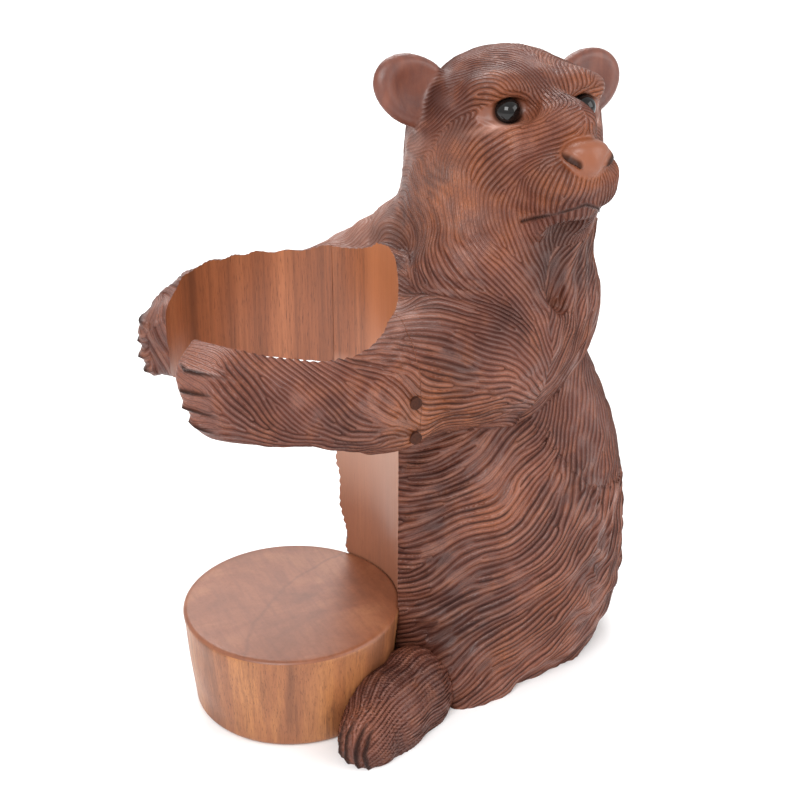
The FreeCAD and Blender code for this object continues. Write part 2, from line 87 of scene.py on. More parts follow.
class Field:
    """A grid of points; distances are negative inside a form."""

    def __init__(self, low, high, step):
        self.low = np.array(low, float)
        self.step = step
        counts = np.ceil((np.array(high) - self.low) / step).astype(int)
        axes = [(self.low[i] + step * np.arange(counts[i])).astype(np.float32) for i in range(3)]
        self.x, self.y, self.z = np.meshgrid(*axes, indexing="ij")

    def ellipsoid(self, centre, radii, basis=None):
        d = [self.x - centre[0], self.y - centre[1], self.z - centre[2]]
        if basis is not None:
            d = [row[0] * d[0] + row[1] * d[1] + row[2] * d[2] for row in np.float32(basis)]
        scaled = [q / np.float32(r) for q, r in zip(d, radii)]
        near = np.sqrt(sum(q * q for q in scaled))
        slope = np.sqrt(sum((q / np.float32(r)) ** 2 for q, r in zip(scaled, radii))) + 1e-9
        return near * (near - 1) / slope

    def capsule(self, start, end, r_start, r_end, flat=1.0):
        """A tapered round bar; flat below 1 squashes it along Z."""
        squash = np.array((1, 1, flat))
        a, b = np.array(start) / squash, np.array(end) / squash
        run = b - a
        x, y, z = self.x - a[0], self.y - a[1], self.z / flat - a[2]
        along = np.clip((x * run[0] + y * run[1] + z * run[2]) / (run @ run), 0, 1)
        gap = np.sqrt((x - along * run[0]) ** 2 + (y - along * run[1]) ** 2
                      + (z - along * run[2]) ** 2)
        return (gap - (r_start + (r_end - r_start) * along)) * flat

    def mesh(self, distance, name):
        """The surface of a distance field as a mesh in metres."""
        grid = openvdb.FloatGrid(3.0 * self.step)
        grid.copyFromArray(distance.astype(np.float32))
        points, triangles, quads = grid.convertToPolygons(isovalue=0.0, adaptivity=0.0)
        points = (points * self.step + self.low) * MM
        faces = [tuple(f[::-1]) for f in quads.tolist() + triangles.tolist()]
        mesh = bpy.data.meshes.new(name)
        mesh.from_pydata(points.tolist(), [], faces)
        mesh.update()
        return mesh


def blend(a, b, reach):
    """Union of two forms with a soft valley."""
    share = np.clip(0.5 + 0.5 * (b - a) / reach, 0, 1)
    return b + (a - b) * share - reach * share * (1 - share)


def carve(a, b, reach):
    """Keep only what is inside both forms, with a soft edge."""
    return -blend(-a, -b, reach)


# ---- the head's own frame

HEAD_CENTRE = np.array((-2.8, BACK_Y + 8.2, TOP - 44.4))
HEAD_TURN, HEAD_LIFT, HEAD_TILT = math.radians(93), math.radians(18.2), math.radians(-4.8)


def head_basis():
    """Rows: towards the bear's left, forward, up."""
    turn, lift, tilt = HEAD_TURN, HEAD_LIFT, HEAD_TILT
    forward = np.array((math.sin(turn), -math.cos(turn), 0))
    left = np.array((math.cos(turn), math.sin(turn), 0))
    up = np.array((0, 0, 1.0))
    nose = forward * math.cos(lift) + up * math.sin(lift)
    crown = up * math.cos(lift) - forward * math.sin(lift)
    return np.array((left * math.cos(tilt) + crown * math.sin(tilt), nose,
                     crown * math.cos(tilt) - left * math.sin(tilt)))


HEAD = head_basis()


def from_head(point):
    """A point given as left, forward, up of the head's centre."""
    return HEAD_CENTRE + np.array(point) @ HEAD


def to_head(points):
    return (points - HEAD_CENTRE) @ HEAD.T


EYE = np.array((17.3, 29.0, 15.8))          # left, forward, up of the left eye's bead
EYE_RADIUS = 5.2
EAR, EAR_RADII = np.array((40.0, -4.0, 27.0)), (19, 6.0, 14.0)
EAR_RISE = 0.45                             # slope of an ear's long axis, in radians
EAR_CUP, EAR_CUP_RADII = np.array((0.5, 9.6, 0.0)), (16.5, 8.6, 12.8)
EAR_ROOT = np.array((32.0, 2.0, 21.0))      # painted shade in front of the ear, where it meets the head
NOSE = np.array((0.0, 56.0, -4.0))


def mirror(vector, side):
    return np.array((vector[0] * side, vector[1], vector[2]))


def ear_basis(side):
    """Rows: from the ear's root to its rim, the way the cup faces, across the cup."""
    root = np.array((math.cos(EAR_RISE) * side, 0.0, math.sin(EAR_RISE)))
    faces = np.array((0.30 * side, 0.95, 0.05))
    faces -= root * (faces @ root)
    faces /= np.linalg.norm(faces)
    return np.array((root, faces, np.cross(root, faces))) @ HEAD


# masses of the skull and muzzle: left, forward and up of the head's centre, half sizes, softness
SKULL = ((0, -4, 7), (39.5, 41, 37))
MUZZLE = (((-3, -5, -14), (40.5, 40, 37), 10), ((0, 30, -12), (21, 27, 18), 8),
          ((-2, 32, -27), (13.5, 20, 9), 5), ((0, 31, 8), (12.5, 27, 12.5), 8))
LIP_AND_BROW = (((8.5, 44, -12), (10.5, 13, 10), 4), ((17, 22, 24), (13, 12, 8), 6))
NOSE_PAD = ((NOSE + (0, 0, 1.5), (9.5, 7.0, 5.5), 2.0),
            (NOSE + (0, 0.5, -2.5), (6.0, 6.5, 6.0), 2.5))


def head_form(field):
    def mass(place, radii):
        return field.ellipsoid(from_head(place), radii, HEAD)

    form = mass(*SKULL)
    for place, radii, reach in MUZZLE:
        form = blend(form, mass(place, radii), reach)
    for side in (-1, 1):
        for place, radii, reach in LIP_AND_BROW:
            form = blend(form, mass(mirror(place, side), radii), reach)
        socket = mass(mirror(EYE, side) + (side * 0.8, 6, 0.6), (11, 7.2, 6.4))
        form = carve(form, -socket, 3)
    for place, radii, reach in NOSE_PAD:
        form = blend(form, mass(place, radii), reach)
    for side in (-1, 1):
        rows = ear_basis(side)
        centre = from_head(mirror(EAR, side))
        shell = field.ellipsoid(centre, EAR_RADII, rows)
        cup = field.ellipsoid(centre + EAR_CUP @ rows, EAR_CUP_RADII, rows)
        form = blend(form, carve(shell, -cup, 3.0), 3)
    return form


# ---- trunk, arms and feet

# level, how far the section's centre lies in front of the trunk's axis, half width, half depth
TRUNK_SECTIONS = np.array((
    (-12, 0, 33.0, 45.0), (0, 0, 39.5, 52.0), (11, 0, 44.5, 58.5), (36, 0, 49.0, 64.5),
    (62, 0, 50.0, 63.5), (80, 1, 48.5, 61.0), (95, 3, 46.0, 58.5), (112, 6, 42.5, 54.5),
    (122, 8, 40.0, 52.0), (130, 9, 39.0, 50.5), (136, 8, 42.0, 51.0), (149, 7, 46.0, 52.0),
    (165, 6, 47.0, 51.0), (185, 3, 44.0, 45.0), (199, 0, 41.0, 38.5), (212, -3, 37.5, 35.0),
    (225, -4, 36.0, 34.0)))
WAIST_RISE = 18.0           # how much higher the waist crease is at the back than at the front


def waist_rise(y, z):
    """The trunk's sections climb towards the back around the waist."""
    return WAIST_RISE * step(75.0, 132.0, y) * step(55.0, 105.0, z) * (1 - step(158.0, 196.0, z))


def trunk_form(field):
    level, forward, wide, deep = TRUNK_SECTIONS.T
    z = field.z - waist_rise(field.y, field.z).astype(np.float32)
    centre = np.interp(z, level, BACK_Y - forward).astype(np.float32)
    across = np.interp(z, level, wide).astype(np.float32)
    along = np.interp(z, level, deep).astype(np.float32)
    u, v = field.x / across, (field.y - centre) / along
    near = np.sqrt(u * u + v * v)
    slope = np.sqrt((u / across) ** 2 + (v / along) ** 2) + 1e-9
    return carve(near * (near - 1) / slope, field.z - level[-1], 8)


# angle from straight back, top of the inner edge, underside and outer radius along the ring
LEFT_ARM = np.array((
    (0, 199.7, 140, 60), (14, 198, 139, 62), (23, 192.5, 138, 63), (30, 187, 138, 65),
    (42, 182.5, 137, 66), (52, 180, 137.5, 66), (61, 179.5, 137.5, 65), (77, 178.5, 141.5, 62),
    (88, 179, 145.5, 61), (103, 181, 149.3, 61), (120, 183.5, 151, 61),
    (138, 185.5, 152, 61), (145, 186, 154.5, 61), (150, 186, 159, 61), (160, 186, 166, 61)))
RIGHT_ARM = np.array((
    (0, 199.7, 140, 60), (12, 198.5, 139, 62), (24, 195.5, 139, 64), (36, 193, 139, 65),
    (59, 190.4, 140, 65), (85, 189.5, 141.5, 61), (118, 189.5, 144.5, 59.5), (129, 187, 146, 59.5),
    (138, 184, 147.5, 59), (151, 180, 151.5, 58.5), (160, 178, 154, 58.5)))
PAW_END = 152.0             # angle where a paw ends
PAW_LEVEL = 170.0           # level at which it ends there
PAW_LEAN = {1: 0.42, -1: 0.2}       # degrees further for each millimetre above that level
ARM_ROUND = 9.0
ARM_SLOPE = 0.55            # fall of an arm's top face from its inner edge outwards


def along_arm(profile, angle):
    """Top, underside and outer radius of an arm at an angle."""
    return [np.interp(angle, profile[:, 0], profile[:, column]) for column in (1, 2, 3)]


def arm_form(field, profile, side):
    """A curved bar that follows the bottle space round to the paw."""
    angle = np.degrees(np.arctan2(side * field.x, field.y))
    angle = np.where(angle < -90, angle + 360, angle)
    radius = np.hypot(field.x, field.y)
    ahead = np.clip(angle, 0, 180)
    top, low, outer = [row.astype(np.float32) for row in along_arm(profile, ahead)]
    top -= ARM_SLOPE * np.clip(radius - BORE, -4, 25)
    inner = BORE - 7.0
    rounding = ARM_ROUND - 4.0 * step(115, 145, angle)          # the paw is squarer
    across = np.abs(radius - (outer + inner) / 2) - (outer - inner) / 2 + rounding
    upright = np.abs(field.z - (top + low) / 2) - (top - low) / 2 + rounding
    bar = (np.hypot(np.maximum(across, 0), np.maximum(upright, 0))
           + np.minimum(np.maximum(across, upright), 0) - rounding)
    past_level = PAW_LEAN[side] * (field.z - PAW_LEVEL)
    past_paw = np.radians(angle - PAW_END - past_level) * radius
    behind = np.radians(-angle) * radius - 8
    return np.maximum(carve(bar, past_paw, 4.5), behind)


# top of the right shoulder, from the neck to the arm, and the furrow below the chin
RIDGE_START, RIDGE_END, RIDGE_RADII = (-30.0, 74.0, 194.0), (-38.0, 36.0, 176.5), (15, 14)
THROAT_TOP, THROAT_LOW, THROAT_RADII = (48.5, 102.0, 214.0), (40.5, 101.0, 182.0), (9.0, 3.5)


def bear_form(field):
    form = trunk_form(field)
    for side, profile in ((1, LEFT_ARM), (-1, RIGHT_ARM)):
        shoulder = field.ellipsoid((side * 35, BACK_Y - 31, ARM_MIDDLE + 2), (23, 46, 29))
        arm = blend(arm_form(field, profile, side), shoulder, 8)
        if side < 0:
            arm = blend(arm, field.capsule(RIDGE_START, RIDGE_END, *RIDGE_RADII), 6)
        form = blend(form, arm, 7)
        neck_side = field.ellipsoid((side * 20, BACK_Y - 19, 192), (21, 28, 23))
        form = blend(form, neck_side, 9)
        haunch = field.ellipsoid((side * 31, BACK_Y - 24, 14), (17.5, 25, 36))
        form = blend(form, haunch, 6)
    form = blend(form, head_form(field), 9)
    right_belly = field.ellipsoid((-24, BACK_Y - 49, 95), (10, 13, 50))
    form = blend(form, right_belly, 8)
    throat = field.capsule(THROAT_TOP, THROAT_LOW, *THROAT_RADII)
    return carve(form, -throat, 5)


# along a foot, heel to toes: place, radius and how much taller than wide it is
FOOT_BALLS = (((27, 60, 8), 11, 1.25), ((37, 41, 9), 15.5, 1.25), ((47, 23, 9), 16, 1.15),
              ((56, 12, 7.5), 12.5, 1.05))


def foot_form(field, side):
    """A foot that lies beside the base, its top ridge against it."""
    form = None
    for (start, r_start, flat), (end, r_end, _) in zip(FOOT_BALLS, FOOT_BALLS[1:]):
        part = field.capsule(mirror(start, side), mirror(end, side), r_start, r_end, flat)
        form = part if form is None else blend(form, part, 6)
    return form


# ---- meshes as arrays

def add_object(name, mesh):
    obj = bpy.data.objects.new(name, mesh)
    bpy.context.scene.collection.objects.link(obj)
    return obj


def applied(obj):
    """The object's mesh with its modifiers applied."""
    graph = bpy.context.evaluated_depsgraph_get()
    graph.update()
    mesh = bpy.data.meshes.new_from_object(obj.evaluated_get(graph))
    obj.modifiers.clear()
    obj.data = mesh
    return mesh


def refine(mesh):
    """One round of Catmull-Clark subdivision."""
    obj = add_object("refining", mesh)
    obj.modifiers.new("refine", "SUBSURF").levels = 1
    finer = applied(obj)
    bpy.data.objects.remove(obj)
    return finer


def read(items, key, width, kind=float):
    """One property of every item, a row for each."""
    values = np.zeros(len(items) * width, kind)
    items.foreach_get(key, values)
    return values.reshape(-1, width)


def points_mm(mesh):
    return read(mesh.vertices, "co", 3) / MM


def set_points(mesh, points):
    mesh.vertices.foreach_set("co", (points * MM).astype(np.float32).ravel())
    mesh.update()


def normals_of(mesh):
    return read(mesh.vertex_normals, "vector", 3)


def edges_of(mesh):
    return read(mesh.edges, "vertices", 2, np.int32)


# values on the points of carved meshes that the fur reads:
# cosine, sine and depth of the grooves; painted shade in cuts and round the beads, sanded places,
# worn stain (below 0 thick stain and painted shade); painted sheen and streaks
LAYERS = ("phase", "marks", "tint")


def store(mesh, **layers):
    """Keep three values per point under each layer's name."""
    for name in LAYERS:
        attribute = mesh.attributes.new(name, "FLOAT_VECTOR", "POINT")
        values = np.stack(layers[name], 1).astype(np.float32)
        attribute.data.foreach_set("vector", values.ravel())


def wobble(points, scale, seed, waves=7):
    """Smooth noise of about unit size that varies over a length."""
    rng = np.random.default_rng(seed)
    total = np.zeros(len(points))
    for _ in range(waves):
        heading = rng.normal(size=3)
        heading *= rng.uniform(0.6, 1.4) * 2 * math.pi / scale / np.linalg.norm(heading)
        total += np.sin(points @ heading + rng.uniform(0, 2 * math.pi))
    return total / math.sqrt(waves / 2)


def step(low, high, values):
    share = np.clip((values - low) / (high - low), 0, 1)
    return share * share * (3 - 2 * share)


# ---- evenly spaced grooves that follow strokes

def unit(vectors):
    return vectors / np.maximum(np.linalg.norm(vectors, axis=-1, keepdims=True), 1e-9)


def stroke_field(points, normals, guides, reach):
    """Direction, spacing and depth of the gouge at each point, from the guides around it.

    A guide is a place, a direction, the spacing and the depth of the grooves there.
    """
    guides = np.array(guides, float)
    places, ways = guides[:, :3], unit(guides[:, 3:6])
    direction = np.zeros_like(points)
    others = np.zeros((len(points), 2))
    weight_sum = np.zeros(len(points))
    for place, way, rest in zip(places, ways, guides[:, 6:8]):
        gap = ((points - place) ** 2).sum(1)
        weight = 1.0 / (gap + reach ** 2) ** 2
        direction += weight[:, None] * way
        others += weight[:, None] * rest
        weight_sum += weight
    others /= weight_sum[:, None]
    direction -= normals * (direction * normals).sum(1)[:, None]
    return unit(direction), others[:, 0], others[:, 1]


def turned(direction, normals, angle):
    """Directions turned in the surface."""
    side = np.cross(normals, direction)
    return direction * np.cos(angle)[:, None] + side * np.sin(angle)[:, None]


def neighbour_table(edges, count, keep):
    """For each point its neighbours over the kept edges, padded with -1."""
    edges = edges[keep]
    start = np.concatenate((edges[:, 0], edges[:, 1]))
    end = np.concatenate((edges[:, 1], edges[:, 0]))
    order = np.argsort(start, kind="stable")
    start, end = start[order], end[order]
    first = np.searchsorted(start, start)
    rank = np.arange(len(start)) - first
    table = np.full((count, int(rank.max()) + 1), -1, np.int32)
    table[start, rank] = end
    return table


def groove_phase(points, edges, across, spacing, regions, rounds, phase=None):
    """A phase per point that gains one turn per groove across the strokes.

    Each round replaces a point's phase by what its neighbours expect of it, so the grooves stay
    evenly spaced and fork where the strokes spread.
    """
    same = regions[edges[:, 0]] == regions[edges[:, 1]]
    table = neighbour_table(edges, len(points), same)
    real = table >= 0
    other = np.where(real, table, 0)
    wave = across * (2 * math.pi / spacing)[:, None]
    change = np.zeros(other.shape)
    for column in range(other.shape[1]):
        o = other[:, column]
        change[:, column] = ((points - points[o]) * (wave + wave[o]) / 2).sum(1)
    turn = np.exp(1j * change).astype(np.complex64) * real
    if phase is None:
        phase = np.zeros(len(points), np.complex64)
        for region in np.unique(regions):
            phase[np.flatnonzero(regions == region)[0]] = 1
    for _ in range(rounds):
        pulled = (phase[other] * turn).sum(1) + phase
        size = np.abs(pulled)
        phase = np.where(size > 1e-6, pulled / np.maximum(size, 1e-6), 0).astype(np.complex64)
    return phase


def groove_shape(phase):
    """1 in the round floor of a groove, 0 on the sharp ridge between two grooves."""
    return np.abs(np.sin(np.angle(phase) / 2)) ** 0.9


def gouge(points, tree, path, width, depth, round_end=True):
    """How deep a single cut along a path is at each point of the surface."""
    snapped = [np.array(tree.find(Vector(p))[0]) for p in path]
    cut = np.zeros(len(points))
    middle = np.mean(snapped, axis=0)
    spread = max(np.linalg.norm(p - middle) for p in snapped) + 4 * width
    near = np.flatnonzero(((points - middle) ** 2).sum(1) < spread ** 2)
    for number, (a, b) in enumerate(zip(snapped, snapped[1:])):
        run = b - a
        along = np.clip(((points[near] - a) @ run) / (run @ run), 0, 1)
        gap = np.linalg.norm(points[near] - a - along[:, None] * run, axis=1)
        share = (number + along) / (len(snapped) - 1)
        taper = np.sqrt(np.clip(4 * share * (1 - share), 0, 1)) if round_end else 1.0
        value = depth * taper * np.clip(1 - gap / (width * (0.5 + 0.5 * taper)), 0, 1) ** 1.2
        cut[near] = np.maximum(cut[near], value)
    return cut


def point_tree(points):
    tree = KDTree(len(points))
    for index, point in enumerate(points.tolist()):
        tree.insert(point, index)
    tree.balance()
    return tree


# ---- where the strokes run

BODY_PITCH, SEAT_PITCH, HEAD_PITCH, CHEEK_PITCH = 2.1, 2.6, 1.8, 1.6
BODY_DEPTH, SEAT_DEPTH, HEAD_DEPTH, CHEEK_DEPTH = 0.66, 0.75, 0.55, 0.12
WAIST = 130.0
RUFF = 206.0

# strokes on the bear's left side: place, direction
SHOULDER_STROKES = [
    ((40, 38, 188), (0.3, 0.85, -0.25)), ((54, 40, 175), (0, 1, -0.22)),
    ((56, 40, 160), (0, 1, -0.12)), ((54, 42, 145), (0, 1, 0.02)),
    ((56, 60, 178), (0, 0.9, -0.45)), ((57, 62, 160), (0, 0.95, -0.25)),
    ((54, 62, 142), (0, 1, -0.03)), ((52, 78, 188), (0, 0.65, -0.75)),
    ((54, 82, 168), (0, 0.6, -0.8)), ((52, 84, 148), (0, 0.75, -0.65)),
    ((50, 93, 178), (0, 0.28, -0.96)), ((49, 95, 155), (0, 0.3, -0.95)),
    ((47, 97, 138), (0, 0.55, -0.8)), ((34, 56, 204), (0.45, 0.45, -0.75)),
    ((44, 72, 206), (0.2, 0.55, -0.8)), ((47, 90, 205), (0, 0.35, -0.9)),
]
BACK_STROKES = [
    ((49, 104, 140), (0, 0.85, 0.5)), ((48, 106, 160), (0, 0.7, 0.7)),
    ((48, 106, 185), (0, 0.5, 0.85)), ((42, 124, 145), (-0.2, 0.75, 0.6)),
    ((42, 124, 170), (-0.2, 0.45, 0.85)), ((38, 124, 195), (-0.3, 0.6, 0.7)),
    ((18, 139, 145), (-0.6, 0.1, 0.75)), ((18, 139, 175), (-0.35, 0.05, 0.9)),
    ((3, 141, 160), (-0.3, 0, 0.95)),
]
SEAT_STROKES = [
    ((27, 40, 122), (0.4, 0.9, 0.02)), ((30, 44, 100), (0.4, 0.9, 0.12)),
    ((33, 46, 80), (0.35, 0.9, 0.25)), ((34, 48, 60), (0.3, 0.85, 0.4)),
    ((38, 54, 35), (0.3, 0.8, 0.5)), ((38, 60, 124), (0.2, 0.95, 0.15)),
    ((43, 64, 108), (0.1, 0.95, 0.35)), ((46, 66, 90), (0.1, 0.95, 0.3)),
    ((47, 68, 70), (0, 0.95, 0.3)), ((47, 72, 45), (0, 0.9, 0.5)),
    ((44, 70, 20), (0, 0.85, 0.5)), ((40, 84, 124), (0, 0.65, 0.8)),
    ((46, 86, 105), (0, 0.55, 0.85)), ((49, 88, 82), (0, 0.8, 0.6)),
    ((50, 92, 58), (0, 0.9, 0.45)), ((48, 96, 30), (0, 0.9, 0.45)),
    ((42, 96, 8), (0, 0.95, 0.35)), ((38, 108, 126), (-0.1, 0.45, 0.9)),
    ((44, 112, 105), (-0.1, 0.4, 0.9)), ((46, 118, 80), (-0.2, 0.6, 0.75)),
    ((45, 122, 52), (-0.3, 0.8, 0.6)), ((42, 122, 22), (-0.3, 0.85, 0.4)),
    ((28, 136, 118), (-0.5, 0.2, 0.8)), ((34, 144, 88), (-0.4, 0.3, 0.85)),
    ((33, 146, 55), (-0.5, 0.35, 0.8)), ((30, 142, 20), (-0.7, 0.35, 0.6)),
    ((6, 152, 110), (-0.35, 0, 0.9)), ((6, 160, 70), (-0.4, 0, 0.9)),
    ((6, 155, 25), (-0.6, 0, 0.75)),
]
RIDGE_STROKES = [       # only used on the right shoulder
    ((36, 62, 204), (-0.25, 0.85, 0.4)), ((42, 50, 197), (-0.2, 0.9, 0.35)),
    ((26, 52, 199), (-0.3, 0.75, 0.5)), ((44, 38, 189), (-0.15, 0.95, 0.25)),
    ((30, 42, 193), (-0.25, 0.85, 0.35)),
]
FOOT_STROKES = [
    ((48, 30, 25), (0.5, -0.85, -0.1)), ((60, 12, 14), (0.5, -0.8, -0.5)),
    ((62, 30, 12), (0.35, -0.9, -0.15)), ((40, 20, 22), (0.6, -0.75, -0.1)),
    ((40, 50, 26), (0.4, -0.85, 0.1)), ((56, 48, 12), (0.4, -0.9, 0.0)),
    ((66, 8, 6), (0.5, -0.6, -0.6)),
]
# strokes on the left half of the head: left, forward, up; direction; kind of cut
HEAD_STROKES = [
    ((8, 30, 26), (-0.35, 0.6, -0.7), "head"), ((4, 36, 16), (-0.25, 0.75, -0.5), "head"),
    ((10, 18, 38), (-0.6, 0.75, -0.25), "head"), ((26, 8, 37), (-0.8, 0.6, 0.15), "head"),
    ((12, -4, 45), (-0.8, 0.6, 0), "head"), ((30, 20, 28), (-0.75, 0.6, 0.2), "head"),
    ((36, 12, 22), (-0.45, 0.65, 0.45), "head"), ((30, -24, 33), (-0.6, 0.5, 0.4), "head"),
    ((6, -28, 38), (-0.5, 0.7, 0.3), "head"), ((27, 28, 4), (0.55, -0.8, -0.2), "head"),
    ((14, 40, 6), (0.45, -0.9, 0.12), "head"), ((11, 46, 2), (0.5, -0.85, -0.1), "head"),
    ((17, 40, -5), (0.45, -0.85, -0.25), "head"), ((24, 30, -8), (0.45, -0.7, -0.55), "head"),
    ((34, 20, 5), (0.35, -0.6, -0.6), "cheek"), ((36, 16, -12), (0.05, -0.1, -1), "cheek"),
    ((33, 22, -24), (-0.05, 0.05, -1), "cheek"), ((42, 2, -12), (0.05, 0.25, -1), "cheek"),
    ((41, -2, 10), (-0.1, 0.8, 0.5), "cheek"), ((40, -18, -5), (0, 0.85, 0.5), "neck"),
    ((36, -20, -25), (0, 0.8, -0.3), "neck"), ((40, 2, -32), (-0.1, 0.35, -0.9), "neck"),
    ((28, 22, -38), (-0.2, 0.4, -0.9), "neck"), ((12, 48, -12), (0.6, -0.2, -0.75), "head"),
    ((20, 40, -18), (0.4, -0.45, -0.8), "head"), ((7, 56, -18), (0.35, 0.1, -0.9), "head"),
    ((10, 46, -32), (0.1, -0.3, -0.9), "head"), ((18, 36, -32), (0.05, -0.1, -1), "head"),
    ((6, 38, -38), (-0.3, -0.5, -0.8), "head"), ((10, -42, 10), (-0.3, 0.1, 0.95), "body"),
    ((12, -40, -25), (-0.3, -0.1, 0.95), "body"), ((30, -32, 5), (-0.4, 0.5, 0.75), "head"),
]
CUTS = {"body": (BODY_PITCH, BODY_DEPTH), "head": (HEAD_PITCH, HEAD_DEPTH),
        "cheek": (CHEEK_PITCH, CHEEK_DEPTH), "neck": (HEAD_PITCH * 0.85, HEAD_DEPTH * 0.45)}
# along the ring towards the shoulder, outwards, up; for a share of the arm's height
ARM_STROKES = [(1.0, 0.55, 0.75, 0.0), (0.78, 0.5, 0.1, -0.85), (0.5, 0.65, 0, -0.75),
               (0.27, 0.9, 0, -0.4), (0.08, 1.0, -0.1, 0.22)]


def arm_guides(profile, side):
    guides = []
    for angle in range(62, 152, 14):
        top, low, outer = along_arm(profile, angle)
        turn = math.radians(angle)
        out = np.array((side * math.sin(turn), math.cos(turn), 0))
        back = np.array((-side * math.cos(turn), math.sin(turn), 0))
        paw = step(128, 145, float(angle))
        for share, along, outwards, up in ARM_STROKES:
            radius = outer - (8 if share in (0.0, 1.0) else 0)
            place = out * radius + np.array((0, 0, low + share * (top - low)))
            way = back * along + out * outwards * (1 - paw) + np.array((0, 0, up * (1 - paw)))
            guides.append((*place, *way, BODY_PITCH, BODY_DEPTH))
    return guides


def guides_along(strokes, sides=(-1, 1), pitch=BODY_PITCH, depth=BODY_DEPTH):
    """Guides from the strokes of the bear's left side, on each of the given sides."""
    return [(*mirror(place, side), *mirror(way, side), pitch, depth)
            for place, way in strokes for side in sides]


def head_guides():
    return [(*from_head(mirror(place, side)), *(mirror(way, side) @ HEAD), *CUTS[cut])
            for place, way, cut in HEAD_STROKES for side in (-1, 1)]


# level and Y of the line where the strokes of the front meet those of the back
CREASE = ((124.0, 140.0, 152.0, 165.0, 182.0, 206.0), (85.0, 88.0, 91.0, 94.0, 95.0, 101.0))


def bear_regions(points):
    """0 upper front with head and arms, 1 and 4 halves of the back, 2 and 5 of the seat."""
    crease = np.interp(points[:, 2], *CREASE)
    waist = WAIST + waist_rise(points[:, 1], points[:, 2]) + 2 * np.sin(points[:, 1] / 9)
    left = 3 * (points[:, 0] > 0)
    region = np.where((points[:, 1] > crease) & (points[:, 2] < RUFF), 1 + left, 0)
    on_arm = (points[:, 1] < BACK_Y - 52) & (np.hypot(points[:, 0], points[:, 1]) > BORE + 1)
    seat = (points[:, 2] < waist) & ~(on_arm & (points[:, 2] > WAIST))
    return np.where(seat, 2 + left, region)


def bear_strokes(points, normals, regions):
    direction = np.zeros_like(points)
    pitch, depth = np.zeros(len(points)), np.zeros(len(points))
    front = guides_along(SHOULDER_STROKES) + head_guides()
    front += arm_guides(LEFT_ARM, 1) + arm_guides(RIGHT_ARM, -1)
    front += guides_along(RIDGE_STROKES, (-1,), depth=BODY_DEPTH * 0.6)
    pools = {0: front, 1: guides_along(BACK_STROKES),
             2: guides_along(SEAT_STROKES, pitch=SEAT_PITCH, depth=SEAT_DEPTH)}
    for region in np.unique(regions):
        where = regions == region
        side = 1 if region >= 3 else -1
        guides = [g for g in pools[region % 3] if region == 0 or g[0] * side > -8]
        found = stroke_field(points[where], normals[where], guides, 5.0)
        direction[where], pitch[where], depth[where] = found
    return direction, pitch, depth


# ---- carving

# waves over the wood, as lengths in grooves: the grooves themselves, bands and locks of them
WAVES = (1.0, 2.3, 5.5)
FORM_ROUNDS = 420
SETTLING = (FORM_ROUNDS, FORM_ROUNDS // 2, FORM_ROUNDS // 2)    # rounds that settle each wave
REFINING = (60, 20, 12)                                         # and those after refining
SWAY, SWAY_OVER = 0.16, 34              # how far the strokes turn to and fro, in radians
UNEVEN, UNEVEN_OVER = 0.14, 45          # how much their spacing varies
FORM_LOW, FORM_HIGH = (-84, -72, -12), (86, 170, TOP + 14)      # box round the bear's field
BEYOND = 120                            # reach of the blocks that cut, past the bear's sides


def eye_frame(local, side):
    """Outwards, forward and up of an eye's almond, whose outer corner hangs lower."""
    across, ahead, up = ((local - mirror(EYE, side)) * (side, 1, 1)).T
    return across - 1.8, ahead, up + 0.2 * across


# place, reach and strength of painted sheen on the shoulders, the neck and the back of the head
SHEEN_SPOTS = (((-38, 54, 197), 22, 0.95), ((-24, 72, 212), 14, 0.6), ((30, 30, 186), 16, 0.35),
         ((-12, 66, 232), 12, 0.3))


def spot(points, place, reach):
    """1 at a place, fading out over a reach."""
    return np.exp(-((points - place) ** 2).sum(1) / reach ** 2)


def painted_sheen(points):
    """How much painted sheen lies on the places above, and painted highlight on the lower lids."""
    pale = np.zeros(len(points))
    for place, reach, share in SHEEN_SPOTS:
        pale = np.maximum(pale, share * spot(points, place, reach))
    local = to_head(points)
    for side in (-1, 1):
        across, ahead, up = eye_frame(local, side)
        # painted highlight along each lower lid
        lid = np.exp(-((across - 4) / 8) ** 2 - ((up + 4.8) / 1.7) ** 2 - (ahead / 12) ** 4)
        pale = np.maximum(pale, lid)
    return pale


def eye_shadow(points):
    """1 close around the beads: painted shade in the gap round each bead."""
    gaps = [np.linalg.norm(points - from_head(mirror(EYE, side)), axis=1) for side in (-1, 1)]
    return 1 - step(EYE_RADIUS + 0.4, EYE_RADIUS + 1.9, np.minimum(*gaps))


def smooth_on_head(points):
    """1 where the head is sanded smooth: eye sockets, nose pad and ear cups."""
    local = to_head(points)
    smooth = np.zeros(len(points))
    for side in (-1, 1):
        across, ahead, up = eye_frame(local, side)
        oval = np.sqrt((across / 10.5) ** 2 + (up / 6.0) ** 2 + (ahead / 14) ** 2)
        smooth = np.maximum(smooth, 1 - step(0.85, 1.05, oval))
        rows = ear_basis(side)
        ear = (points - from_head(mirror(EAR, side))) @ rows.T
        disc = np.hypot(ear[:, 0] / 18.5, ear[:, 2] / 13.5)
        front = step(-2.5, -1.0, ear[:, 1]) * (1 - step(1.0, 1.1, disc))
        smooth = np.maximum(smooth, front * step(-6.0, -3.0, ear[:, 0]))
    nose = (local - NOSE) / (11.0, 10.5, 8.8)
    return np.maximum(smooth, 1 - step(0.85, 1.0, np.linalg.norm(nose, axis=1)))


